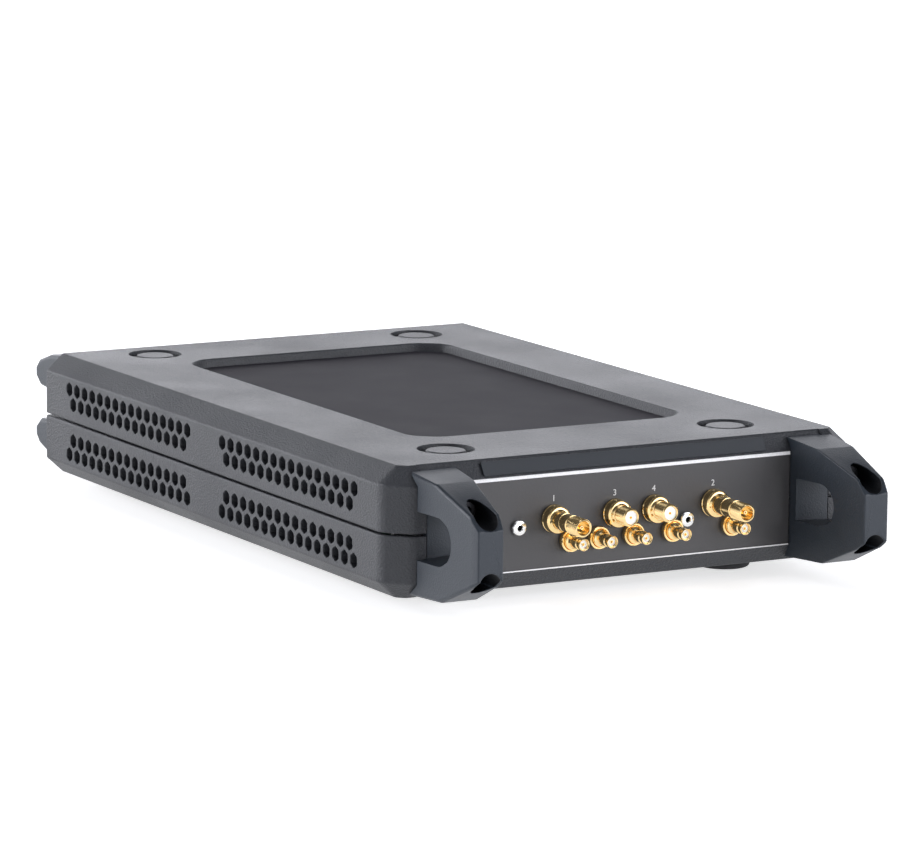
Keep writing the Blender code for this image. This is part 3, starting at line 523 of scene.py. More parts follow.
def case_ring(z, inset):
    """Plan outline of the case where its surface has moved in by the inset."""
    share = min(1.0, inset / CHAMFER_RUN)
    half = HALF - inset
    front = BLOCK_Y + inset / CHAMFER_RUN * BLOCK_REACH
    cut = CORNER_CUT + share * (TOP_CORNER_CUT - CORNER_CUT)
    rise = max(0.0, abs(z - MID) - (TOP - MID - REAR_ROUNDING))
    rear = REAR - REAR_ROUNDING + math.sqrt(max(0.0, REAR_ROUNDING ** 2 - rise ** 2))
    small = REAR_ROUNDING
    outline = (arc(-half + small, rear - small, small, 180, 90, 3)
               + arc(half - small, rear - small, small, 90, 0, 3))
    reach = cut * CORNER_SOFTNESS
    corner = soft_corners([(half, front + cut + 3 * reach), (half, front + cut), (half - cut, front),
                           (half - cut - 3 * reach, front)], reach, 5)[1:-1]
    outline += corner + [(-x, y) for x, y in reversed(corner)]
    return [(x, y, z) for x, y in outline]


def case_block(name, up):
    """Outer form of one shell: seam lip, upright side, sloped edge with soft bends, flat deck."""
    lip = 0.0003
    half_height = TOP - MID
    side = [(lip, SEAM / 2), (0.0, SEAM / 2 + lip), (0.0, half_height - CHAMFER_DROP),
            (CHAMFER_RUN, half_height), (CHAMFER_RUN + EDGE_SOFTNESS, half_height)]
    rings = [case_ring(MID + up * height, inset) for inset, height in soft_corners(side, EDGE_SOFTNESS, 5)]
    return loft(name, rings, SHELL)


def case_cavity():
    inner, slope = HALF - WALL, 0.0060
    levels = [(BASE + DECK, inner - slope), (BASE + DECK + 0.0040, inner),
              (TOP - DECK - 0.0040, inner), (TOP - DECK, inner - slope)]
    rings = [[(-half, CAVITY_FRONT, z), (half, CAVITY_FRONT, z), (half, CAVITY_REAR, z),
              (-half, CAVITY_REAR, z)] for z, half in levels]
    return loft("case_cavity", rings, SHELL)


def front_cut():
    """What the sloped strip and the upright panel plane take off the front, with soft bends."""
    over = 0.0020
    upper = [(FRONT + 0.0040, TOP + 0.0006), (FRONT + 0.0006, TOP + 0.00005), (PANEL_Y, PANEL_TOP),
             (PANEL_Y, MID)]
    upper = soft_corners(upper, 0.0006, 4)[:-1]
    far = FRONT - 0.03
    outline = [*upper, *mirrored(upper), (FRONT + 0.0040, BASE - over), (far, BASE - over), (far, TOP + over),
               (FRONT + 0.0040, TOP + over)]
    return extrude_x("front_cut", outline, -PAD_HALF, PAD_HALF, SHELL)


def recess_outline(inset, z):
    """Rectangle with cut, softened corners, drawn inwards by the inset from the recess's mouth."""
    half = label_high.x + RECESS_INSET - inset
    low, high = label_low.y - RECESS_INSET + inset, label_high.y + RECESS_INSET - inset
    cx, cy = RECESS_CUT
    right = [(half - cx, low), (half, low + cy), (half, high - cy), (half - cx, high)]
    outline = right + [(-x, y) for x, y in reversed(right)]
    return [(x, y, z) for x, y in soft_corners(outline, 0.0042, 6, closed=True)]


def recess_cut():
    steps = [(RECESS_DRAFT, TOP - RECESS_DEPTH), (0.0, TOP - 0.0007), (-0.00015, TOP - 0.0003),
             (-0.0009, TOP + 0.0004)]
    return loft("recess_cut", [recess_outline(inset, z) for inset, z in steps], SHELL)


def pocket_cutter():
    """Round pockets under the case for its feet."""
    mouth = FOOT_RADIUS + GAP
    profile = [(mouth + 0.0004, BASE - 0.0004), (mouth, BASE + 0.0003), (mouth, BASE + POCKET_DEPTH)]
    return lofts("foot_pockets", [[[(*point, z) for point in arc(x, y, radius, 0, 360, 48)[:-1]]
                                   for radius, z in profile] for x, y in FOOT_PLACES], SHELL)


def dimple_cutter():
    """Round pockets for the feet of a unit on top, each with a soft-edged raised disc in its middle."""
    floor, disc = TOP - DIMPLE_DEPTH, TOP - PAD_DROP
    edge = arc(PAD_RADIUS - 0.0010, disc - 0.0010, 0.0010, 0, 90, 6)
    wall = [(0.0, TOP + 0.0004), (DIMPLE_RADIUS + 0.0005, TOP + 0.0004), (DIMPLE_RADIUS, TOP - 0.0001),
            (DIMPLE_RADIUS - 0.0002, floor), (PAD_RADIUS, floor)]
    bm = bmesh.new()
    for x, y in FOOT_PLACES:
        lathe_into(bm, plain(wall + edge + [(0.0, disc)]), (x, y, 0.0), "Z", 64)
    return as_object("dimple_bowls", bm, SHELL)


def vent_cutter(name, up):
    """Hexagonal holes through both side walls, with soft corners and countersunk mouths."""
    hexagon = [(VENT_SIZE * math.sin(math.radians(60 * k)), VENT_SIZE * math.cos(math.radians(60 * k)))
               for k in range(6)]
    hexagon = soft_corners(hexagon, 0.0006, 3, closed=True)
    depth = [(HALF - 2 * WALL, 1.0), (HALF - 0.00035, 1.0), (HALF - 0.0001, 1.05), (HALF + 0.0003, 1.19)]
    return lofts(name, [rings_along_x(hexagon, centre + (i - (count - 1) / 2) * VENT_PITCH, MID + up * rise,
                                      [(sign * x, grow) for x, grow in depth])
                        for sign in SIDES.values() for centre in VENT_GROUPS
                        for rise, count in VENT_ROWS for i in range(count)], SHELL)


def bore_cutter(name, up):
    """Screw holes in the four corner blocks of one shell."""
    spans = ((SCREW_X, SCREW_RISE, PANEL_Y - 0.001, CAVITY_FRONT + 0.001),
             (REAR_SCREW_X, REAR_SCREW_RISE, CAVITY_REAR - 0.001, REAR + 0.001))
    return lofts(name, [tube_along_y(sign * x, MID + up * rise, SCREW_RADIUS + GAP, y_low, y_high, 24)
                        for sign in SIDES.values() for x, rise, y_low, y_high in spans], SHELL)


def make_shell(name, up):
    shell = case_block(name + "_moulding", up)
    carve(shell, [case_cavity()])
    if up > 0:
        half = label_high.x + PAN_MARGIN
        pan = block("recess_pan", (-half, label_low.y - PAN_MARGIN, TOP - RECESS_DEPTH - PAN_THICKNESS),
                    (half, label_high.y + PAN_MARGIN, TOP - DECK / 2), SHELL)
        carve(shell, [pan], "UNION")
        tools = [recess_cut(), dimple_cutter()]
    else:
        tools = [pocket_cutter()]
    tools += [
        front_cut(),
        block("front_opening", (-PANEL_HALF, FRONT - 0.03, PANEL_BOTTOM),
              (PANEL_HALF, FRONT + 0.003, PANEL_TOP)),
        block("rear_opening", (-REAR_OPENING_HALF, CAVITY_REAR - 0.003, PANEL_BOTTOM),
              (REAR_OPENING_HALF, REAR + 0.003, PANEL_TOP)),
        bore_cutter(name + "_bores", up),
        vent_cutter(name + "_vents", up),
    ]
    carve(shell, tools)
    install(smooth_faces(shell, SHELL_SHARP), "shell_plastic", name)


# ---------------- handles and rear posts
HANDLE_IN = PANEL_HALF
HANDLE_OUT = 0.0825
HANDLE_REACH = FRONT - handle_low.y
BORE_RADIUS = 0.0041
BORE_FLOOR = FRONT - 0.0238
GRIP_CENTRE = FRONT - 0.0190
GRIP_RADIUS_OUT = 0.0083
GRIP_RADIUS_IN = 0.0070
POST_IN = 0.0665
POST_BORE_RADIUS = 0.0038
HANDLE_DRAFT_IN = 0.123                # sideways shift of a handle's sides for each metre ahead of the panel
HANDLE_DRAFT_OUT = 0.068
HANDLE_SOFTNESS = 0.0005
FRONT_CHAMFER = 0.0034
SLOPE_CHAMFER = 0.0007


def drafted(target, sign):
    """The handle narrows towards its front: its inner side more than its outer side."""
    for vertex in target.data.vertices:
        ahead = max(PANEL_Y - vertex.co.y, 0.0)
        inner = abs(vertex.co.x) < (HANDLE_IN + HANDLE_OUT) / 2
        vertex.co.x += sign * ahead * (HANDLE_DRAFT_IN if inner else -HANDLE_DRAFT_OUT)


def outer_chamfers(target, sign):
    """Cut back the outer side's edges, except those against the case: the upright one most."""
    bm = bmesh.new()
    bm.from_mesh(target.data)
    limit = max(sign * vertex.co.x for vertex in bm.verts) - 0.0035
    nose = FRONT - HANDLE_REACH + 0.0001
    sloped = [edge for edge in bm.edges
              if all(sign * vertex.co.x > limit for vertex in edge.verts)
              and not all(abs(vertex.co.y - PANEL_Y) < 0.0040 for vertex in edge.verts)
              and not all(vertex.co.y < nose for vertex in edge.verts)]
    bmesh.ops.bevel(bm, geom=sloped, offset=SLOPE_CHAMFER, segments=1, profile=0.5, affect="EDGES")
    upright = [edge for edge in bm.edges
               if all(vertex.co.y < nose and sign * vertex.co.x > limit for vertex in edge.verts)
               and abs(edge.verts[0].co.x - edge.verts[1].co.x) < 1e-6
               and edge.calc_face_angle(0.0) > math.radians(60)]
    bmesh.ops.bevel(bm, geom=upright, offset=FRONT_CHAMFER, segments=1, profile=0.5, affect="EDGES")
    bm.to_mesh(target.data)
    bm.free()


def grip_ring(x, radius):
    """D-shaped finger opening: flat against the case, round towards the front."""
    front = arc(GRIP_CENTRE, MID, radius, 90, 270, 24)
    return [(x, y, z) for y, z in [(BLOCK_Y, MID - radius), (BLOCK_Y, MID + radius), *front]]


def seat_outline():
    """Side view of the case corner, a gap larger all round, that the handle's seat clears."""
    slope = Vector((-BLOCK_REACH, -CHAMFER_DROP)).normalized()
    start = Vector((FRONT, TOP)) + Vector((slope.y, -slope.x)) * GAP
    end = start + slope * ((BLOCK_Y - GAP - start.x) / slope.x)
    back = FRONT + 0.0030
    upper = [tuple(start), tuple(end)]
    return upper + mirrored(upper) + [(back, 2 * MID - start.y), (back, start.y)]


def make_handle(side, sign):
    seat = [(PANEL_Y - GAP, PANEL_TOP + 0.0001), (FRONT - 0.00123, TOP - 0.0015)]
    nose = FRONT - HANDLE_REACH
    upper = [(FRONT - 0.0180, TOP - 0.0033), (FRONT - 0.0385, TOP - 0.0105), (nose, TOP - 0.0151)]
    lower = [(nose, BASE + 0.0125), (FRONT - 0.0385, BASE + 0.0098), (FRONT - 0.0214, BASE + 0.0023)]
    outline = seat + upper + lower + mirrored(seat)
    handle = extrude_x(f"handle_{side}_moulding", outline, sign * HANDLE_IN, sign * HANDLE_OUT, BUMPER,
                       PAINTED_BORE_SHADE)
    drafted(handle, sign)
    outer_chamfers(handle, sign)
    room = extrude_x(f"seat_{side}", seat_outline(), sign * (PAD_HALF - GAP), sign * (HANDLE_OUT + 0.01))
    grip = loft(f"grip_{side}", [grip_ring(sign * (HANDLE_IN - 0.004), GRIP_RADIUS_IN),
                                 grip_ring(sign * (HANDLE_OUT + 0.002), GRIP_RADIUS_OUT)])
    tools = [grip, room]
    for level, up in LEVELS.items():
        x, z = sign * SCREW_X, MID + up * SCREW_RISE
        hole = tube_along_y(x, z, SCREW_RADIUS + GAP, BORE_FLOOR - 0.002, FRONT, 24)
        tools.append(loft(f"bore_{level}", tube_along_y(x, z, BORE_RADIUS, nose - 0.01, BORE_FLOOR)))
        tools.append(loft(f"hole_{level}", hole))
    carve(handle, tools)
    soften(handle, HANDLE_SOFTNESS, 14, 3,
           keep=lambda edge: all(v.co.y > BORE_FLOOR - 0.0004 for v in edge.verts)
           or all(abs(v.co.y - BORE_FLOOR) < 0.0001 for v in edge.verts) or is_bore_wall(edge))
    # Faces on the bores' walls and floors take the near-black material: painted shade.
    for polygon in handle.data.polygons:
        corners = [handle.data.vertices[index].co for index in polygon.vertices]
        if any(all(inside_bore(corner, up) for corner in corners) for up in LEVELS.values()):
            polygon.material_index = 1
    install(smooth_faces(handle), "bumper_plastic", f"handle_{side}")


def inside_bore(point, up):
    """Whether a point lies on the wall or the floor of a handle's bore."""
    away = math.hypot(abs(point.x) - SCREW_X, point.z - MID - up * SCREW_RISE)
    return away < BORE_RADIUS + 0.00003 and point.y < BORE_FLOOR + 0.0001


def is_bore_wall(edge):
    """Edges that run along Y inside a round bore or along X inside the grip."""
    run = (edge.verts[0].co - edge.verts[1].co).normalized()
    return edge.calc_face_angle(0.0) < math.radians(20) and (abs(run.y) > 0.98 or abs(run.x) > 0.98)


def make_bumper(level, up, side, sign):
    end, root = cad_box[1][1], REAR + GAP
    outline = [
        (root, TOP - 0.0015), (REAR + 0.0167, TOP - 0.0032), (end - 0.0030, TOP - 0.0062),
        (end, TOP - 0.0092), (end, TOP - 0.0128), (end - 0.0040, TOP - 0.0160), (root, TOP - 0.0180),
    ]
    if up < 0:
        outline = mirrored(outline)
    node = f"rear_bumper_{level}_{side}"
    post = extrude_x(node + "_moulding", outline, sign * POST_IN, sign * HANDLE_OUT, BUMPER)
    soften(post, 0.0016, 60, 3, keep=lambda edge: all(v.co.y < REAR + 0.001 for v in edge.verts))
    x, z = sign * REAR_SCREW_X, MID + up * REAR_SCREW_RISE
    carve(post, [loft("post_bore", tube_along_y(x, z, POST_BORE_RADIUS, REAR + 0.0110, end + 0.01)),
                 loft("post_hole", tube_along_y(x, z, SCREW_RADIUS + GAP, REAR - 0.002, REAR + 0.013, 24))])
    install(smooth_faces(post), "bumper_plastic", node)


def make_screws():
    """Socket-head screws deep in the handles' and posts' bores."""
    places = {}
    for side in SIDES:
        for level in LEVELS:
            places[f"handle_screw_{level}_{side}"] = "-Y"
            places[f"rear_bumper_screw_{level}_{side}"] = "Y"
    for node, axis in places.items():
        low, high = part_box(node)
        length = high.y - low.y
        centre = ((low.x + high.x) / 2, high.y if axis == "-Y" else low.y, (low.z + high.z) / 2)
        head, radius, socket = 0.0025, 0.0033, 0.0016
        seat = length - head
        profile = plain([(0.0, length - 0.0015)])
        profile += plain([(socket, length - 0.0015), (socket, length)], "hex")
        profile += plain([(socket + 0.0003, length), (radius - 0.0004, length), (radius, length - 0.0004),
                          (radius, seat), (SCREW_RADIUS, seat)])
        profile += thread(SCREW_RADIUS, seat - 0.0005, 0.0005)
        profile += plain([(SCREW_RADIUS - 0.0004, 0.0), (0.0, 0.0)])
        bm = bmesh.new()
        lathe_into(bm, profile, centre, axis, 36, flats=0.00135)
        install(smooth_faces(as_object(node + "_cap", bm, BLACK_STEEL)), "black_steel", node)


# ---------------- feet
def make_feet():
    """Turned rubber feet with a soft rim and two grooves underneath."""
    for row, y in FOOT_YS.items():
        for side, sign in SIDES.items():
            node = f"foot_{row}_{side}"
            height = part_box(node)[1].z
            r = FOOT_RADIUS
            rim = [(r, height - 0.0002), (r, 0.0016)] + arc(r - 0.0012, 0.0012, 0.0012, 0, -90, 5)
            rings = [(r - 0.0022, 0.0), (r - 0.0024, 0.0004), (r - 0.0032, 0.0004), (r - 0.0034, 0.0),
                     (r - 0.0052, 0.0), (r - 0.0054, 0.0004), (r - 0.0062, 0.0004), (r - 0.0064, 0.0),
                     (0.0, 0.0)]
            bm = bmesh.new()
            lathe_into(bm, plain([(0.0, height), (r - 0.0002, height), *rim, *rings]),
                       (sign * FOOT_X, y, 0.0), "Z")
            install(smooth_faces(as_object(node + "_rubber", bm, RUBBER)), "black_rubber", node)


# ---------------- front panel, labels and connectors
def centre_of(node):
    low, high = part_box(node)
    return (low + high) / 2


LARGE_PORTS = {"port_1_connector": 1, "lo_out_connector": 3, "lo_in_connector": 4, "port_2_connector": 2}
SMALL_PORTS = [f"small_connector_{i}" for i in range(1, 6)]
JACKS = ["bias_jack_left", "bias_jack_right"]
FRONT_BORES = ((LARGE_PORTS, 0.0044), (SMALL_PORTS, 0.0027), (JACKS, 0.0018))
BEHIND_PANEL = -0.0075                 # how far the small jacks reach in
NUMERAL_HEIGHT = 0.0030
NUMERAL_RISE = 0.0058                  # from a port's middle up to its numeral's foot
INK_THICKNESS = 0.00002
INK_LIFT = 0.00003
LONG_PORT = 0.015                      # ports that reach further than this have the long barrel


def turned(node, profile, face, axis, mats, slot, segments=48, flats=0.0040):
    """A turned connector on the line through its CAD node; heights count from the panel's face."""
    middle = centre_of(node)
    bm = bmesh.new()
    lathe_into(bm, profile, (middle.x, face, middle.z), axis, segments, flats)
    install(smooth_faces(as_object(node + "_turned", bm, *mats), TURNED_SHARP), slot, node)


def behind(reach, pairs, material_index=0):
    """Profile points given by radius and distance behind the connector's mouth."""
    return plain([(radius, reach - depth) for radius, depth in pairs], "", material_index)


def numeral(bm, text, height, x, z, y, material_index, facing=-1):
    """A flat printed number standing on the panel, added to the panel's mesh."""
    curve = bpy.data.curves.new("numeral_" + text, "FONT")
    curve.body = text
    curve.size = height
    curve.align_x = "CENTER"
    curve.extrude = INK_THICKNESS
    curve.resolution_u = 3
    drawn = bpy.data.objects.new("numeral_" + text, curve)
    bpy.context.scene.collection.objects.link(drawn)
    bpy.context.view_layer.update()
    mesh = bpy.data.meshes.new_from_object(drawn.evaluated_get(bpy.context.evaluated_depsgraph_get()))
    turn = Matrix.Rotation(math.radians(90), 4, "X")
    if facing > 0:
        turn = Matrix.Rotation(math.radians(180), 4, "Z") @ turn
    mesh.transform(Matrix.Translation((x, y, z)) @ turn)
    for polygon in mesh.polygons:
        polygon.material_index = material_index
    bm.from_mesh(mesh)
    bpy.data.objects.remove(drawn, do_unlink=True)
    bpy.data.meshes.remove(mesh)


def holed_plate(name, low, high, bores, *mats):
    """Flat plate with round holes given as (x, z, radius)."""
    plate = block(name, low, high, *mats)
    return carve(plate, [lofts(name + "_bores", [tube_along_y(x, z, radius, low[1] - 0.004, high[1] + 0.004)
                                                 for x, z, radius in bores])])


def make_front_panel():
    bores = [(centre_of(node).x, centre_of(node).z, radius)
             for nodes, radius in FRONT_BORES for node in nodes]
    plate = holed_plate("front_panel_plate", panel_low, panel_high, bores, PANEL, EDGE_LINE_AND_HIGHLIGHT, PRINT)
    bm = bmesh.new()
    bm.from_mesh(plate.data)
    half = panel_high.x - 0.0001
    # Pale ribs along the top and bottom edges: printed line and painted highlight of the rounded lip.
    box_into(bm, (-half, PANEL_Y - 0.00045, PANEL_TOP - 0.0010),
             (half, PANEL_Y + 0.0002, PANEL_TOP + 0.0001), 1)
    box_into(bm, (-half, PANEL_Y - 0.00030, PANEL_BOTTOM - 0.0001),
             (half, PANEL_Y + 0.0002, PANEL_BOTTOM + 0.0003), 1)
    for node, number in LARGE_PORTS.items():
        place = centre_of(node)
        numeral(bm, str(number), NUMERAL_HEIGHT, place.x, place.z + NUMERAL_RISE, PANEL_Y - INK_LIFT, 2)
    plate.data.clear_geometry()
    bm.to_mesh(plate.data)
    bm.free()
    install(smooth_faces(plate), "panel_grey", "front_panel")


def make_labels():
    """Blank dark films: one in the top recess, one on the sloped front strip."""
    floor, film = label_low.z, label_high.z
    rings = [recess_outline(RECESS_INSET + 0.0003, floor),
             recess_outline(RECESS_INSET + 0.0003, film - 0.0001),
             recess_outline(RECESS_INSET + 0.0004, film)]
    install(smooth_faces(loft("top_label_film", rings, LABEL)), "label_film", "top_label")
    slope = Vector((0.0, PANEL_Y - FRONT, PANEL_TOP - TOP)).normalized()
    out = Vector((0.0, slope.z, -slope.y))
    edge = Vector((0.0, FRONT, TOP))
    near, far, half = 0.0012, 0.0062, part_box("front_label_strip")[1].x
    plan = soft_corners([(-half, near), (half, near), (half, far), (-half, far)], 0.0007, 4, closed=True)
    rings = []
    for lift, inset in ((GAP * 0.2, 0.0), (GAP + 0.0003, 0.0), (GAP + 0.0004, 0.0001)):
        ring = []
        for x, along in plan:
            shrunk = along + (inset if along < (near + far) / 2 else -inset)
            ring.append(Vector((x * (1 - inset / half), 0, 0)) + edge + slope * shrunk + out * lift)
        rings.append(ring)
    install(smooth_faces(loft("front_strip_film", rings, STRIP)), "label_film", "front_label_strip")


def make_large_port(node):
    """Threaded coaxial port: domed flange on a washer, barrel, open end with its centre contact."""
    reach = PANEL_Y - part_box(node)[0].y
    long_port = reach > LONG_PORT
    barrel, mouth, flange = 0.00315, 0.00235, 0.0048
    deep = 0.0042 if long_port else 0.0006
    thread_start = reach - (0.0062 if long_port else 0.0060)
    if long_port:
        pin, hollow = 0.00065, 0.0003
        profile = behind(reach, [(0.0, 0.0026), (hollow, 0.0026), (hollow, 0.0012), (pin, 0.0012),
                                 (pin + 0.0001, 0.0014), (pin + 0.0001, deep), (mouth, deep)])
    else:
        pin, hollow = 0.0006, 0.00035
        profile = behind(reach, [(0.0, 0.0020), (hollow, 0.0020), (hollow, deep), (pin, deep)])
        profile += behind(reach, [(pin + 0.00002, deep), (mouth - 0.00002, deep)], 1)
        profile += behind(reach, [(mouth, deep)])
    profile += behind(reach, [(mouth, 0.0002), (mouth + 0.0002, 0.0), (barrel - 0.0005, 0.0),
                              (barrel - 0.0003, 0.0002)])
    profile += thread(barrel, reach - 0.0003, thread_start)
    neck = barrel - 0.0003
    profile += plain([(barrel - 0.0004, thread_start - 0.0001), (barrel - 0.0004, thread_start - 0.0006),
                      (barrel, thread_start - 0.0008)])
    if long_port:
        middle = (thread_start + 0.0044) / 2
        profile += plain([(barrel, middle + 0.0003), (neck, middle + 0.0002), (neck, middle - 0.0002),
                          (barrel, middle - 0.0003)])
    profile += plain([(barrel, 0.0046), (barrel + 0.0004, 0.0042), (0.0037, 0.0040), (0.0041, 0.0039),
                      (0.0045, 0.0036), (0.0047, 0.0031), (flange, 0.0025), (flange, 0.0014),
                      (0.0046, 0.0012), (0.0046, 0.0010), (flange, 0.0008), (flange, GAP), (0.0038, GAP),
                      (0.0038, -0.0080), (0.0022, -0.0080), (0.0022, -0.0150), (0.0, -0.0150)])
    turned(node, profile, PANEL_Y, "-Y", (GOLD, DIELECTRIC), "gold_plate", 60)


def make_small_port(node, metal, slot, axis, face, flange, barrel):
    """Push-on jack: dished flange, necked barrel, pale insulator with its centre contact."""
    low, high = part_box(node)
    reach = face - low.y if axis == "-Y" else high.y - face
    mouth, neck = barrel - 0.00045, barrel - 0.0003
    profile = behind(reach, [(0.0, 0.0016), (0.0004, 0.0016), (0.0004, 0.0008), (0.0006, 0.0008)])
    profile += behind(reach, [(0.00062, 0.0011), (mouth - 0.0001, 0.0011)], 1)
    profile += behind(reach, [(mouth, 0.0011), (mouth, 0.0002), (mouth + 0.00015, 0.0),
                              (barrel - 0.0002, 0.0), (barrel, 0.0002), (barrel, 0.0012),
                              (neck, 0.0015), (neck, 0.0024), (barrel, 0.0027)])
    profile += plain([(barrel, 0.0044), (barrel + 0.0003, 0.0038), (barrel + 0.0009, 0.0034),
                      (barrel + 0.0010, 0.0026), (flange - 0.0009, 0.0020), (flange - 0.0006, 0.0024),
                      (flange - 0.0002, 0.0024), (flange, 0.0021), (flange, GAP + 0.0002),
                      (flange - 0.0002, GAP), (barrel, GAP), (barrel, BEHIND_PANEL), (0.0, BEHIND_PANEL)])
    turned(node, profile, face, axis, (metal, DIELECTRIC), slot)


def make_flat_jack(node):
    """Miniature silver jack: a bright dished ring almost flush with the panel."""
    reach = PANEL_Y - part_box(node)[0].y
    profile = plain([(0.0, 0.0004), (0.0002, 0.0004), (0.0003, 0.0002), (0.0003, -0.0030),
                     (0.0009, -0.0030)], "", 1)
    profile += behind(reach, [(0.0009, 0.0003), (0.0011, 0.0), (0.0020, 0.0001), (0.0024, 0.0003),
                              (0.0026, 0.0006)])
    profile += plain([(0.0026, GAP), (0.0016, GAP), (0.0016, BEHIND_PANEL), (0.0, BEHIND_PANEL)])
    turned(node, profile, PANEL_Y, "-Y", (NICKEL, FAN_PLASTIC), "nickel_plate", 40)


def make_front_connectors():
    for node in LARGE_PORTS:
        make_large_port(node)
    for node in SMALL_PORTS:
        make_small_port(node, GOLD, "gold_plate", "-Y", PANEL_Y, 0.0039, 0.0021)
    for node in JACKS:
        make_flat_jack(node)


# ---------------- rear panel
REAR_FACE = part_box("rear_panel")[1].y
REFERENCE_JACKS = ("ref_in_jack", "ref_out_jack")
TRIGGER_JACKS = ("trigger_in_jack", "trigger_out_jack")
REAR_BORES = {"ref_in_jack": 0.0037, "ref_out_jack": 0.0037, "trigger_in_jack": 0.0030,
              "trigger_out_jack": 0.0030, "dc_power_jack": 0.0064, "ground_terminal": 0.0026}
REAR_NUMERAL_HEIGHT = 0.0026
REAR_NUMERAL_SHIFT = 0.0085            # beside the jack


def make_rear_panel():
    low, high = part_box("rear_panel")
    bores = [(centre_of(node).x, centre_of(node).z, radius) for node, radius in REAR_BORES.items()]
    plate = holed_plate("rear_panel_plate", low, high, bores, PANEL, PRINT)
    usb = centre_of("usb_c_receptacle")
    windows = [
        block("usb_window", (usb.x - 0.0052, low.y - 0.003, usb.z - 0.0023),
              (usb.x + 0.0052, high.y + 0.003, usb.z + 0.0023)),
        block("lock_slot", (0.0500, low.y - 0.003, BASE + 0.0200), (0.0570, high.y + 0.003, BASE + 0.0230)),
    ]
    carve(plate, windows)
    soften(plate, 0.0002, 60, 2)
    bm = bmesh.new()
    bm.from_mesh(plate.data)
    for index, node in enumerate((*REFERENCE_JACKS, *TRIGGER_JACKS)):
        place = centre_of(node)
        numeral(bm, str(index + 1), REAR_NUMERAL_HEIGHT, place.x + REAR_NUMERAL_SHIFT, place.z - 0.0009,
                REAR_FACE + INK_LIFT, 1, facing=1)
    bm.to_mesh(plate.data)
    bm.free()
    install(smooth_faces(plate), "panel_grey", "rear_panel")


def make_threaded_jack(node, flange, barrel):
    """Threaded coaxial jack with a hexagonal flange."""
    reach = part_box(node)[1].y - REAR_FACE
    mouth = barrel - 0.0007
    profile = behind(reach, [(0.0, 0.0016), (0.0004, 0.0016), (0.0004, 0.0006), (0.0007, 0.0006)])
    profile += behind(reach, [(0.00072, 0.0005), (mouth - 0.0001, 0.0005)], 1)
    profile += behind(reach, [(mouth, 0.0005), (mouth + 0.0001, 0.0), (barrel - 0.0004, 0.0)])
    profile += thread(barrel, reach - 0.0003, 0.0034)
    profile += plain([(flange - 0.0012, 0.0032), (flange - 0.0002, 0.0028), (flange - 0.0002, 0.0010)], "hex")
    profile += plain([(flange, 0.0009), (flange, GAP), (barrel, GAP), (barrel, BEHIND_PANEL),
                      (0.0, BEHIND_PANEL)])
    turned(node, profile, REAR_FACE, "Y", (NICKEL, DIELECTRIC), "nickel_plate", 54, flange * 0.90)


def make_power_jack():
    """Coaxial power inlet: dark body with a hexagonal nut and a bright pin."""
    profile = plain([(0.0, 0.0060), (0.0009, 0.0060), (0.0011, 0.0058), (0.0011, -0.0020)], "", 1)
    profile += plain([(0.0042, -0.0020), (0.0042, 0.0078), (0.0044, 0.0080), (0.0056, 0.0080),
                      (0.0058, 0.0078), (0.0058, 0.0030)])
    profile += plain([(0.0066, 0.0030), (0.0072, 0.0026), (0.0072, 0.0008)], "hex")
    profile += plain([(0.0070, GAP), (0.0058, GAP), (0.0058, -0.0090), (0.0, -0.0090)])
    turned("dc_power_jack", profile, REAR_FACE, "Y", (FAN_PLASTIC, NICKEL), "fan_plastic", 60, 0.0066)


def make_ground_terminal():
    """Threaded stud with a nut."""
    profile = plain([(0.0, 0.0100), (0.0016, 0.0100), (0.0020, 0.0096)])
    profile += thread(0.0020, 0.0094, 0.0064, 0.0007)
    profile += plain([(0.0036, 0.0062), (0.0040, 0.0058), (0.0040, 0.0032)], "hex")
    profile += plain([(0.0036, 0.0030), (0.0028, 0.0030), (0.0028, GAP), (0.0020, GAP), (0.0020, -0.0070),
                      (0.0, -0.0070)])
    turned("ground_terminal", profile, REAR_FACE, "Y", (NICKEL,), "nickel_plate", 48, 0.0036)


def make_rear_connectors():
    for node in REFERENCE_JACKS:
        make_threaded_jack(node, 0.0052, 0.0031)
    for node in TRIGGER_JACKS:
        make_small_port(node, NICKEL, "nickel_plate", "Y", REAR_FACE, 0.0040, 0.0024)
    make_power_jack()
    make_ground_terminal()
    make_usb_port()


def slot_ring(cx, cz, y, length, height):
    """Slot outline in the XZ plane with round ends."""
    half = (length - height) / 2
    right = arc(cx + half, cz, height / 2, -90, 90, 12)
    left = arc(cx - half, cz, height / 2, 90, 270, 12)
    return [(x, y, z) for x, z in right + left]


def make_usb_port():
    """Stamped shell as one folded wall, with the contact tongue and its gold pads inside."""
    low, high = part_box("usb_c_receptacle")
    x, z = (low.x + high.x) / 2, (low.z + high.z) / 2
    bm = bmesh.new()
    walls = [(high.y - 0.0002, 0.0092, 0.0034), (high.y, 0.0090, 0.0032), (high.y - 0.0001, 0.0085, 0.0027),
             (low.y + 0.0010, 0.0084, 0.0026), (low.y + 0.00099, 0.0010, 0.0005)]
    rings = [slot_ring(x, z, y, length, height) for y, length, height in [(low.y, 0.0092, 0.0034), *walls]]
    loft_into(bm, rings)
    box_into(bm, (x - 0.0034, low.y + 0.0005, z - 0.00035), (x + 0.0034, high.y - 0.0012, z + 0.00035), 1)
    for i in range(-5, 6):
        pad_x = x + i * 0.0005
        box_into(bm, (pad_x - 0.00013, low.y + 0.0030, z + 0.0003),
                 (pad_x + 0.00013, high.y - 0.0014, z + 0.00042), 2)
    port = as_object("usb_c_receptacle_stamped", bm, PORT_STEEL, FAN_PLASTIC, GOLD)
    install(smooth_faces(port), "port_shell_steel", "usb_c_receptacle")


# ---------------- fans
FAN_GROUPS = {"front": VENT_GROUPS[0], "rear": VENT_GROUPS[1]}


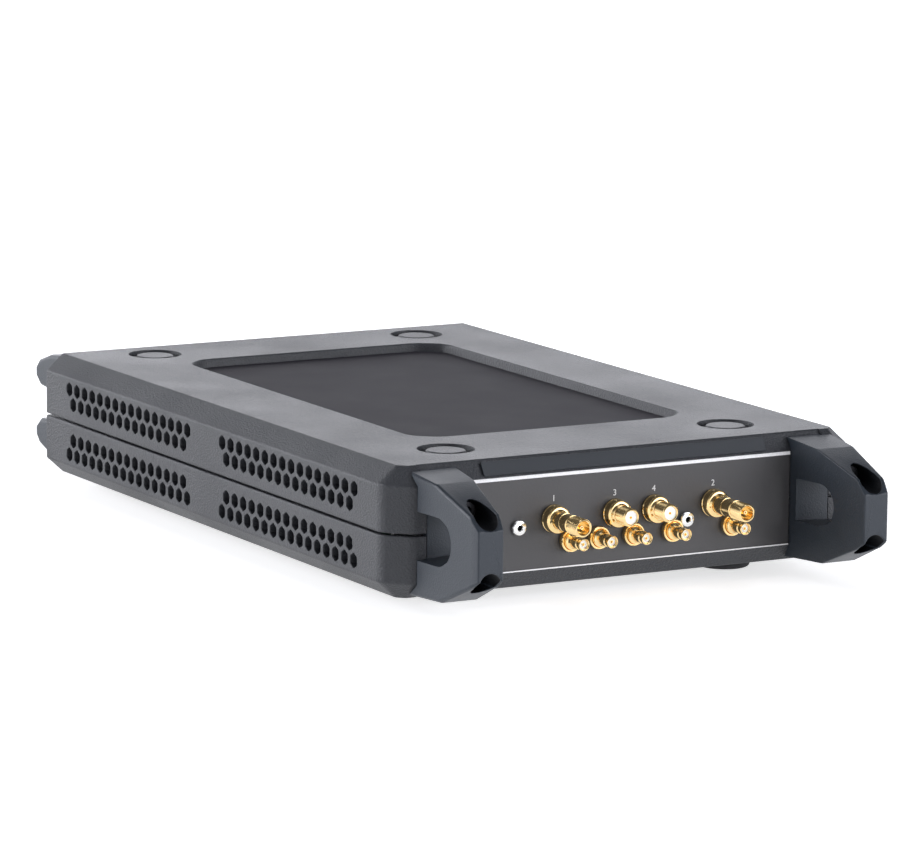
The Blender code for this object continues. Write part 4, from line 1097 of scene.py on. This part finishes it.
FAN_BLADES = 7
BLADE_STEPS = 6
BLADE_ROOT, BLADE_TIP = 0.0066, 0.0148
BLADE_CHORD = 0.0068
BLADE_CAMBER = 0.0006
FAN_WINDOW = 72                        # degrees that each of the four windows spans
FAN_HOLE_INSET = 0.0028


def make_fan_frame(name, y):
    low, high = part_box(f"fan_frame_{name}")
    half = (high.z - low.z) / 2
    corners = [(-half, -half), (half, -half), (half, half), (-half, half)]
    square = soft_corners(corners, 0.0030, 5, closed=True)
    throat = arc(0, 0, half - 0.0010, 0, 360, 64)[:-1]
    frame_piece = loft(f"fan_frame_{name}_moulding",
                       rings_along_x(square, y, MID, [(low.x, 1.0), (high.x, 1.0)]), FAN_PLASTIC)
    tools = [loft("throat", rings_along_x(throat, y, MID, [(low.x + 0.0020, 1.0), (high.x - 0.0010, 1.0),
                                                           (high.x + 0.001, 1.07)]))]
    for quarter in range(4):
        start = 90 * quarter + (90 - FAN_WINDOW) / 2
        end = start + FAN_WINDOW
        window = arc(0, 0, half - 0.0022, start, end, 14) + arc(0, 0, 0.0072, end, start, 10)
        hole = arc((half - FAN_HOLE_INSET) * (1 if quarter in (0, 3) else -1),
                   (half - FAN_HOLE_INSET) * (1 if quarter < 2 else -1), 0.0014, 0, 360, 20)[:-1]
        for kind, outline, reach in (("window", window, low.x + 0.003), ("mount", hole, high.x + 0.001)):
            steps = [(low.x - 0.001, 1.0), (reach, 1.0)]
            tools.append(loft(f"{kind}_{quarter}", rings_along_x(outline, y, MID, steps)))
    carve(frame_piece, tools)
    install(smooth_faces(frame_piece), "fan_plastic", f"fan_frame_{name}")


def blade_section(thick):
    """Cambered section of a blade: (along the chord, across it), once round."""
    def point(k, side):
        t = k / 8 - 0.5
        return (t * BLADE_CHORD, BLADE_CAMBER * (1 - 4 * t * t) + side * thick * (0.5 - abs(t)) ** 0.5)

    return [point(k, 1) for k in range(9)] + [point(k, -1) for k in range(7, 0, -1)]


def make_fan_rotor(name, y):
    """Domed hub with twisted, curved blades; it turns about X."""
    low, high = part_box(f"fan_rotor_{name}")
    back = low.x + 0.0024
    depth = high.x - back
    bm = bmesh.new()
    hub = plain([(0.0, depth), (0.0058, depth)] + arc(0.0060, depth - 0.0010, 0.0010, 90, 0, 4)
                + [(0.0070, 0.0), (0.0010, 0.0), (0.0010, -0.0024), (0.0, -0.0024)])
    lathe_into(bm, hub, (back, y, MID), "X", 48)
    for blade in range(FAN_BLADES):
        rings = []
        for step in range(BLADE_STEPS + 1):
            share = step / BLADE_STEPS
            radius = BLADE_ROOT + share * (BLADE_TIP - BLADE_ROOT)
            twist = math.radians(46 - 16 * share)
            sweep = 2 * math.pi * blade / FAN_BLADES + 0.22 * share ** 2
            ring = []
            for along, across in blade_section(0.0007 - 0.0003 * share):
                x = back + depth / 2 + along * math.cos(twist) - across * math.sin(twist)
                turn = sweep + (along * math.sin(twist) + across * math.cos(twist)) / radius
                ring.append((x, y + radius * math.cos(turn), MID + radius * math.sin(turn)))
            rings.append(ring)
        loft_into(bm, rings)
    rotor = smooth_faces(as_object(f"fan_rotor_{name}_moulding", bm, FAN_PLASTIC))
    install(rotor, "fan_plastic", f"fan_rotor_{name}", body=f"fan_{name}")


# ---------------- CAD nodes that stay, with their finishes
def finish_inside():
    """The sealed inner pieces keep their CAD shape."""
    finishes = {"chassis_tray": SHEET, "rf_shield": SHEET, "heat_sink": SHEET, "digital_board": BOARD,
                "rf_board": BOARD}
    finishes.update({f"standoff_{i}": NICKEL for i in range(1, 5)})
    finishes.update({node: COPPER for node in ("coax_port_1", "coax_port_2", "coax_lo_out", "coax_lo_in")})
    for node, mat in finishes.items():
        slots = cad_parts[node].data.materials
        slots.clear()
        slots.append(mat)


# ---------------- floor, light and camera
HORIZON = (0.15, 0.42, 1.05, 0.12)      # from this height to that one the surround fades, bright to dim
SOFT_AREAS = (
    (0, 88, 24, 1.6),                  # overhead, keeps the floor white
    (25, 5, 38, 2.2),                  # behind
    (-52, 8, 37, 6.0),                 # left rear
    (146, 8, 37, 4.5),                 # front right
)


FLOOR_BOX = ((-12.0, -12.0, -0.02), (12.0, 14.0, 0.0))
FLOOR_COLORS = ((0.85, 0.85, 0.85), (0.88, 0.88, 0.88))
FLOOR_GLOW = 0.65                      # the floor's own light, which keeps it as white as the photo's ground
SURROUND_TINT = (0.955, 0.965, 1.02)
CORE_SHARE = 0.35                      # part of a soft area's size that has its full brightness


def make_floor():
    g = surface("pale_floor", color=(0.86, 0.86, 0.86), roughness=0.75, specular=0.2,
                emission=(1.0, 1.0, 1.0), glow=FLOOR_GLOW)
    g.set(color=g.blend(g.noise(0.8), *FLOOR_COLORS))
    block("floor", *FLOOR_BOX, g.owner)


def make_world():
    """Studio surround, built up from soft bright areas: (azimuth, elevation, size, brightness)."""
    bpy.context.scene.world = bpy.data.worlds.new("studio")
    g = Graph(bpy.context.scene.world, "Generated")
    total = g.remap(g.node("SeparateXYZ", {"Vector": g.place}, "Z"), *HORIZON, "SMOOTHSTEP")
    for azimuth, elevation, size, brightness in SOFT_AREAS:
        a, e = math.radians(azimuth), math.radians(elevation)
        heading = (math.sin(a) * math.cos(e), math.cos(a) * math.cos(e), math.sin(e))
        nearness = g.node("VectorMath", {0: g.place, 1: heading}, "Value", operation="DOT_PRODUCT")
        edge, core = math.cos(math.radians(size)), math.cos(math.radians(size * CORE_SHARE))
        total = g.combine("ADD", total, g.remap(nearness, edge, core, 0.0, brightness, "SMOOTHSTEP"))
    background = g.nodes["Background"].inputs
    g.fill(background["Color"], opaque(SURROUND_TINT))
    g.fill(background["Strength"], total)


LENS = 215.55
CAMERA_PLACE = (-0.9201, -1.6402, 0.3656)
CAMERA_TURN = (29.352, 9.914, 0.615)   # degrees to the right, down, and rolled


def make_camera():
    """Long lens from the front left, a little above the case."""
    data = bpy.data.cameras.new("camera")
    data.sensor_fit = "HORIZONTAL"
    data.sensor_width = 36.0
    data.lens = LENS
    data.clip_end = 100.0
    yaw, pitch, roll = (math.radians(angle) for angle in CAMERA_TURN)
    forward = Vector((math.sin(yaw) * math.cos(pitch), math.cos(yaw) * math.cos(pitch), -math.sin(pitch)))
    level = Vector((math.cos(yaw), -math.sin(yaw), 0.0))
    upright = level.cross(forward)
    right = level * math.cos(roll) + upright * math.sin(roll)
    up = upright * math.cos(roll) - level * math.sin(roll)
    camera = bpy.data.objects.new("camera", data)
    turn = Matrix((right, up, -forward)).transposed().to_4x4()
    camera.matrix_world = Matrix.Translation(CAMERA_PLACE) @ turn
    bpy.context.scene.collection.objects.link(camera)
    bpy.context.scene.camera = camera


make_camera()
make_world()
make_floor()
make_shell("top_cover", 1)
make_shell("bottom_cover", -1)
for side_name, side_sign in SIDES.items():
    make_handle(side_name, side_sign)
    for level_name, level_up in LEVELS.items():
        make_bumper(level_name, level_up, side_name, side_sign)
make_screws()
make_feet()
make_front_panel()
make_labels()
make_front_connectors()
make_rear_panel()
make_rear_connectors()
for fan_name, fan_y in FAN_GROUPS.items():
    make_fan_frame(fan_name, fan_y)
    make_fan_rotor(fan_name, fan_y)
finish_inside()

bpy.context.scene.view_settings.view_transform = "Standard"
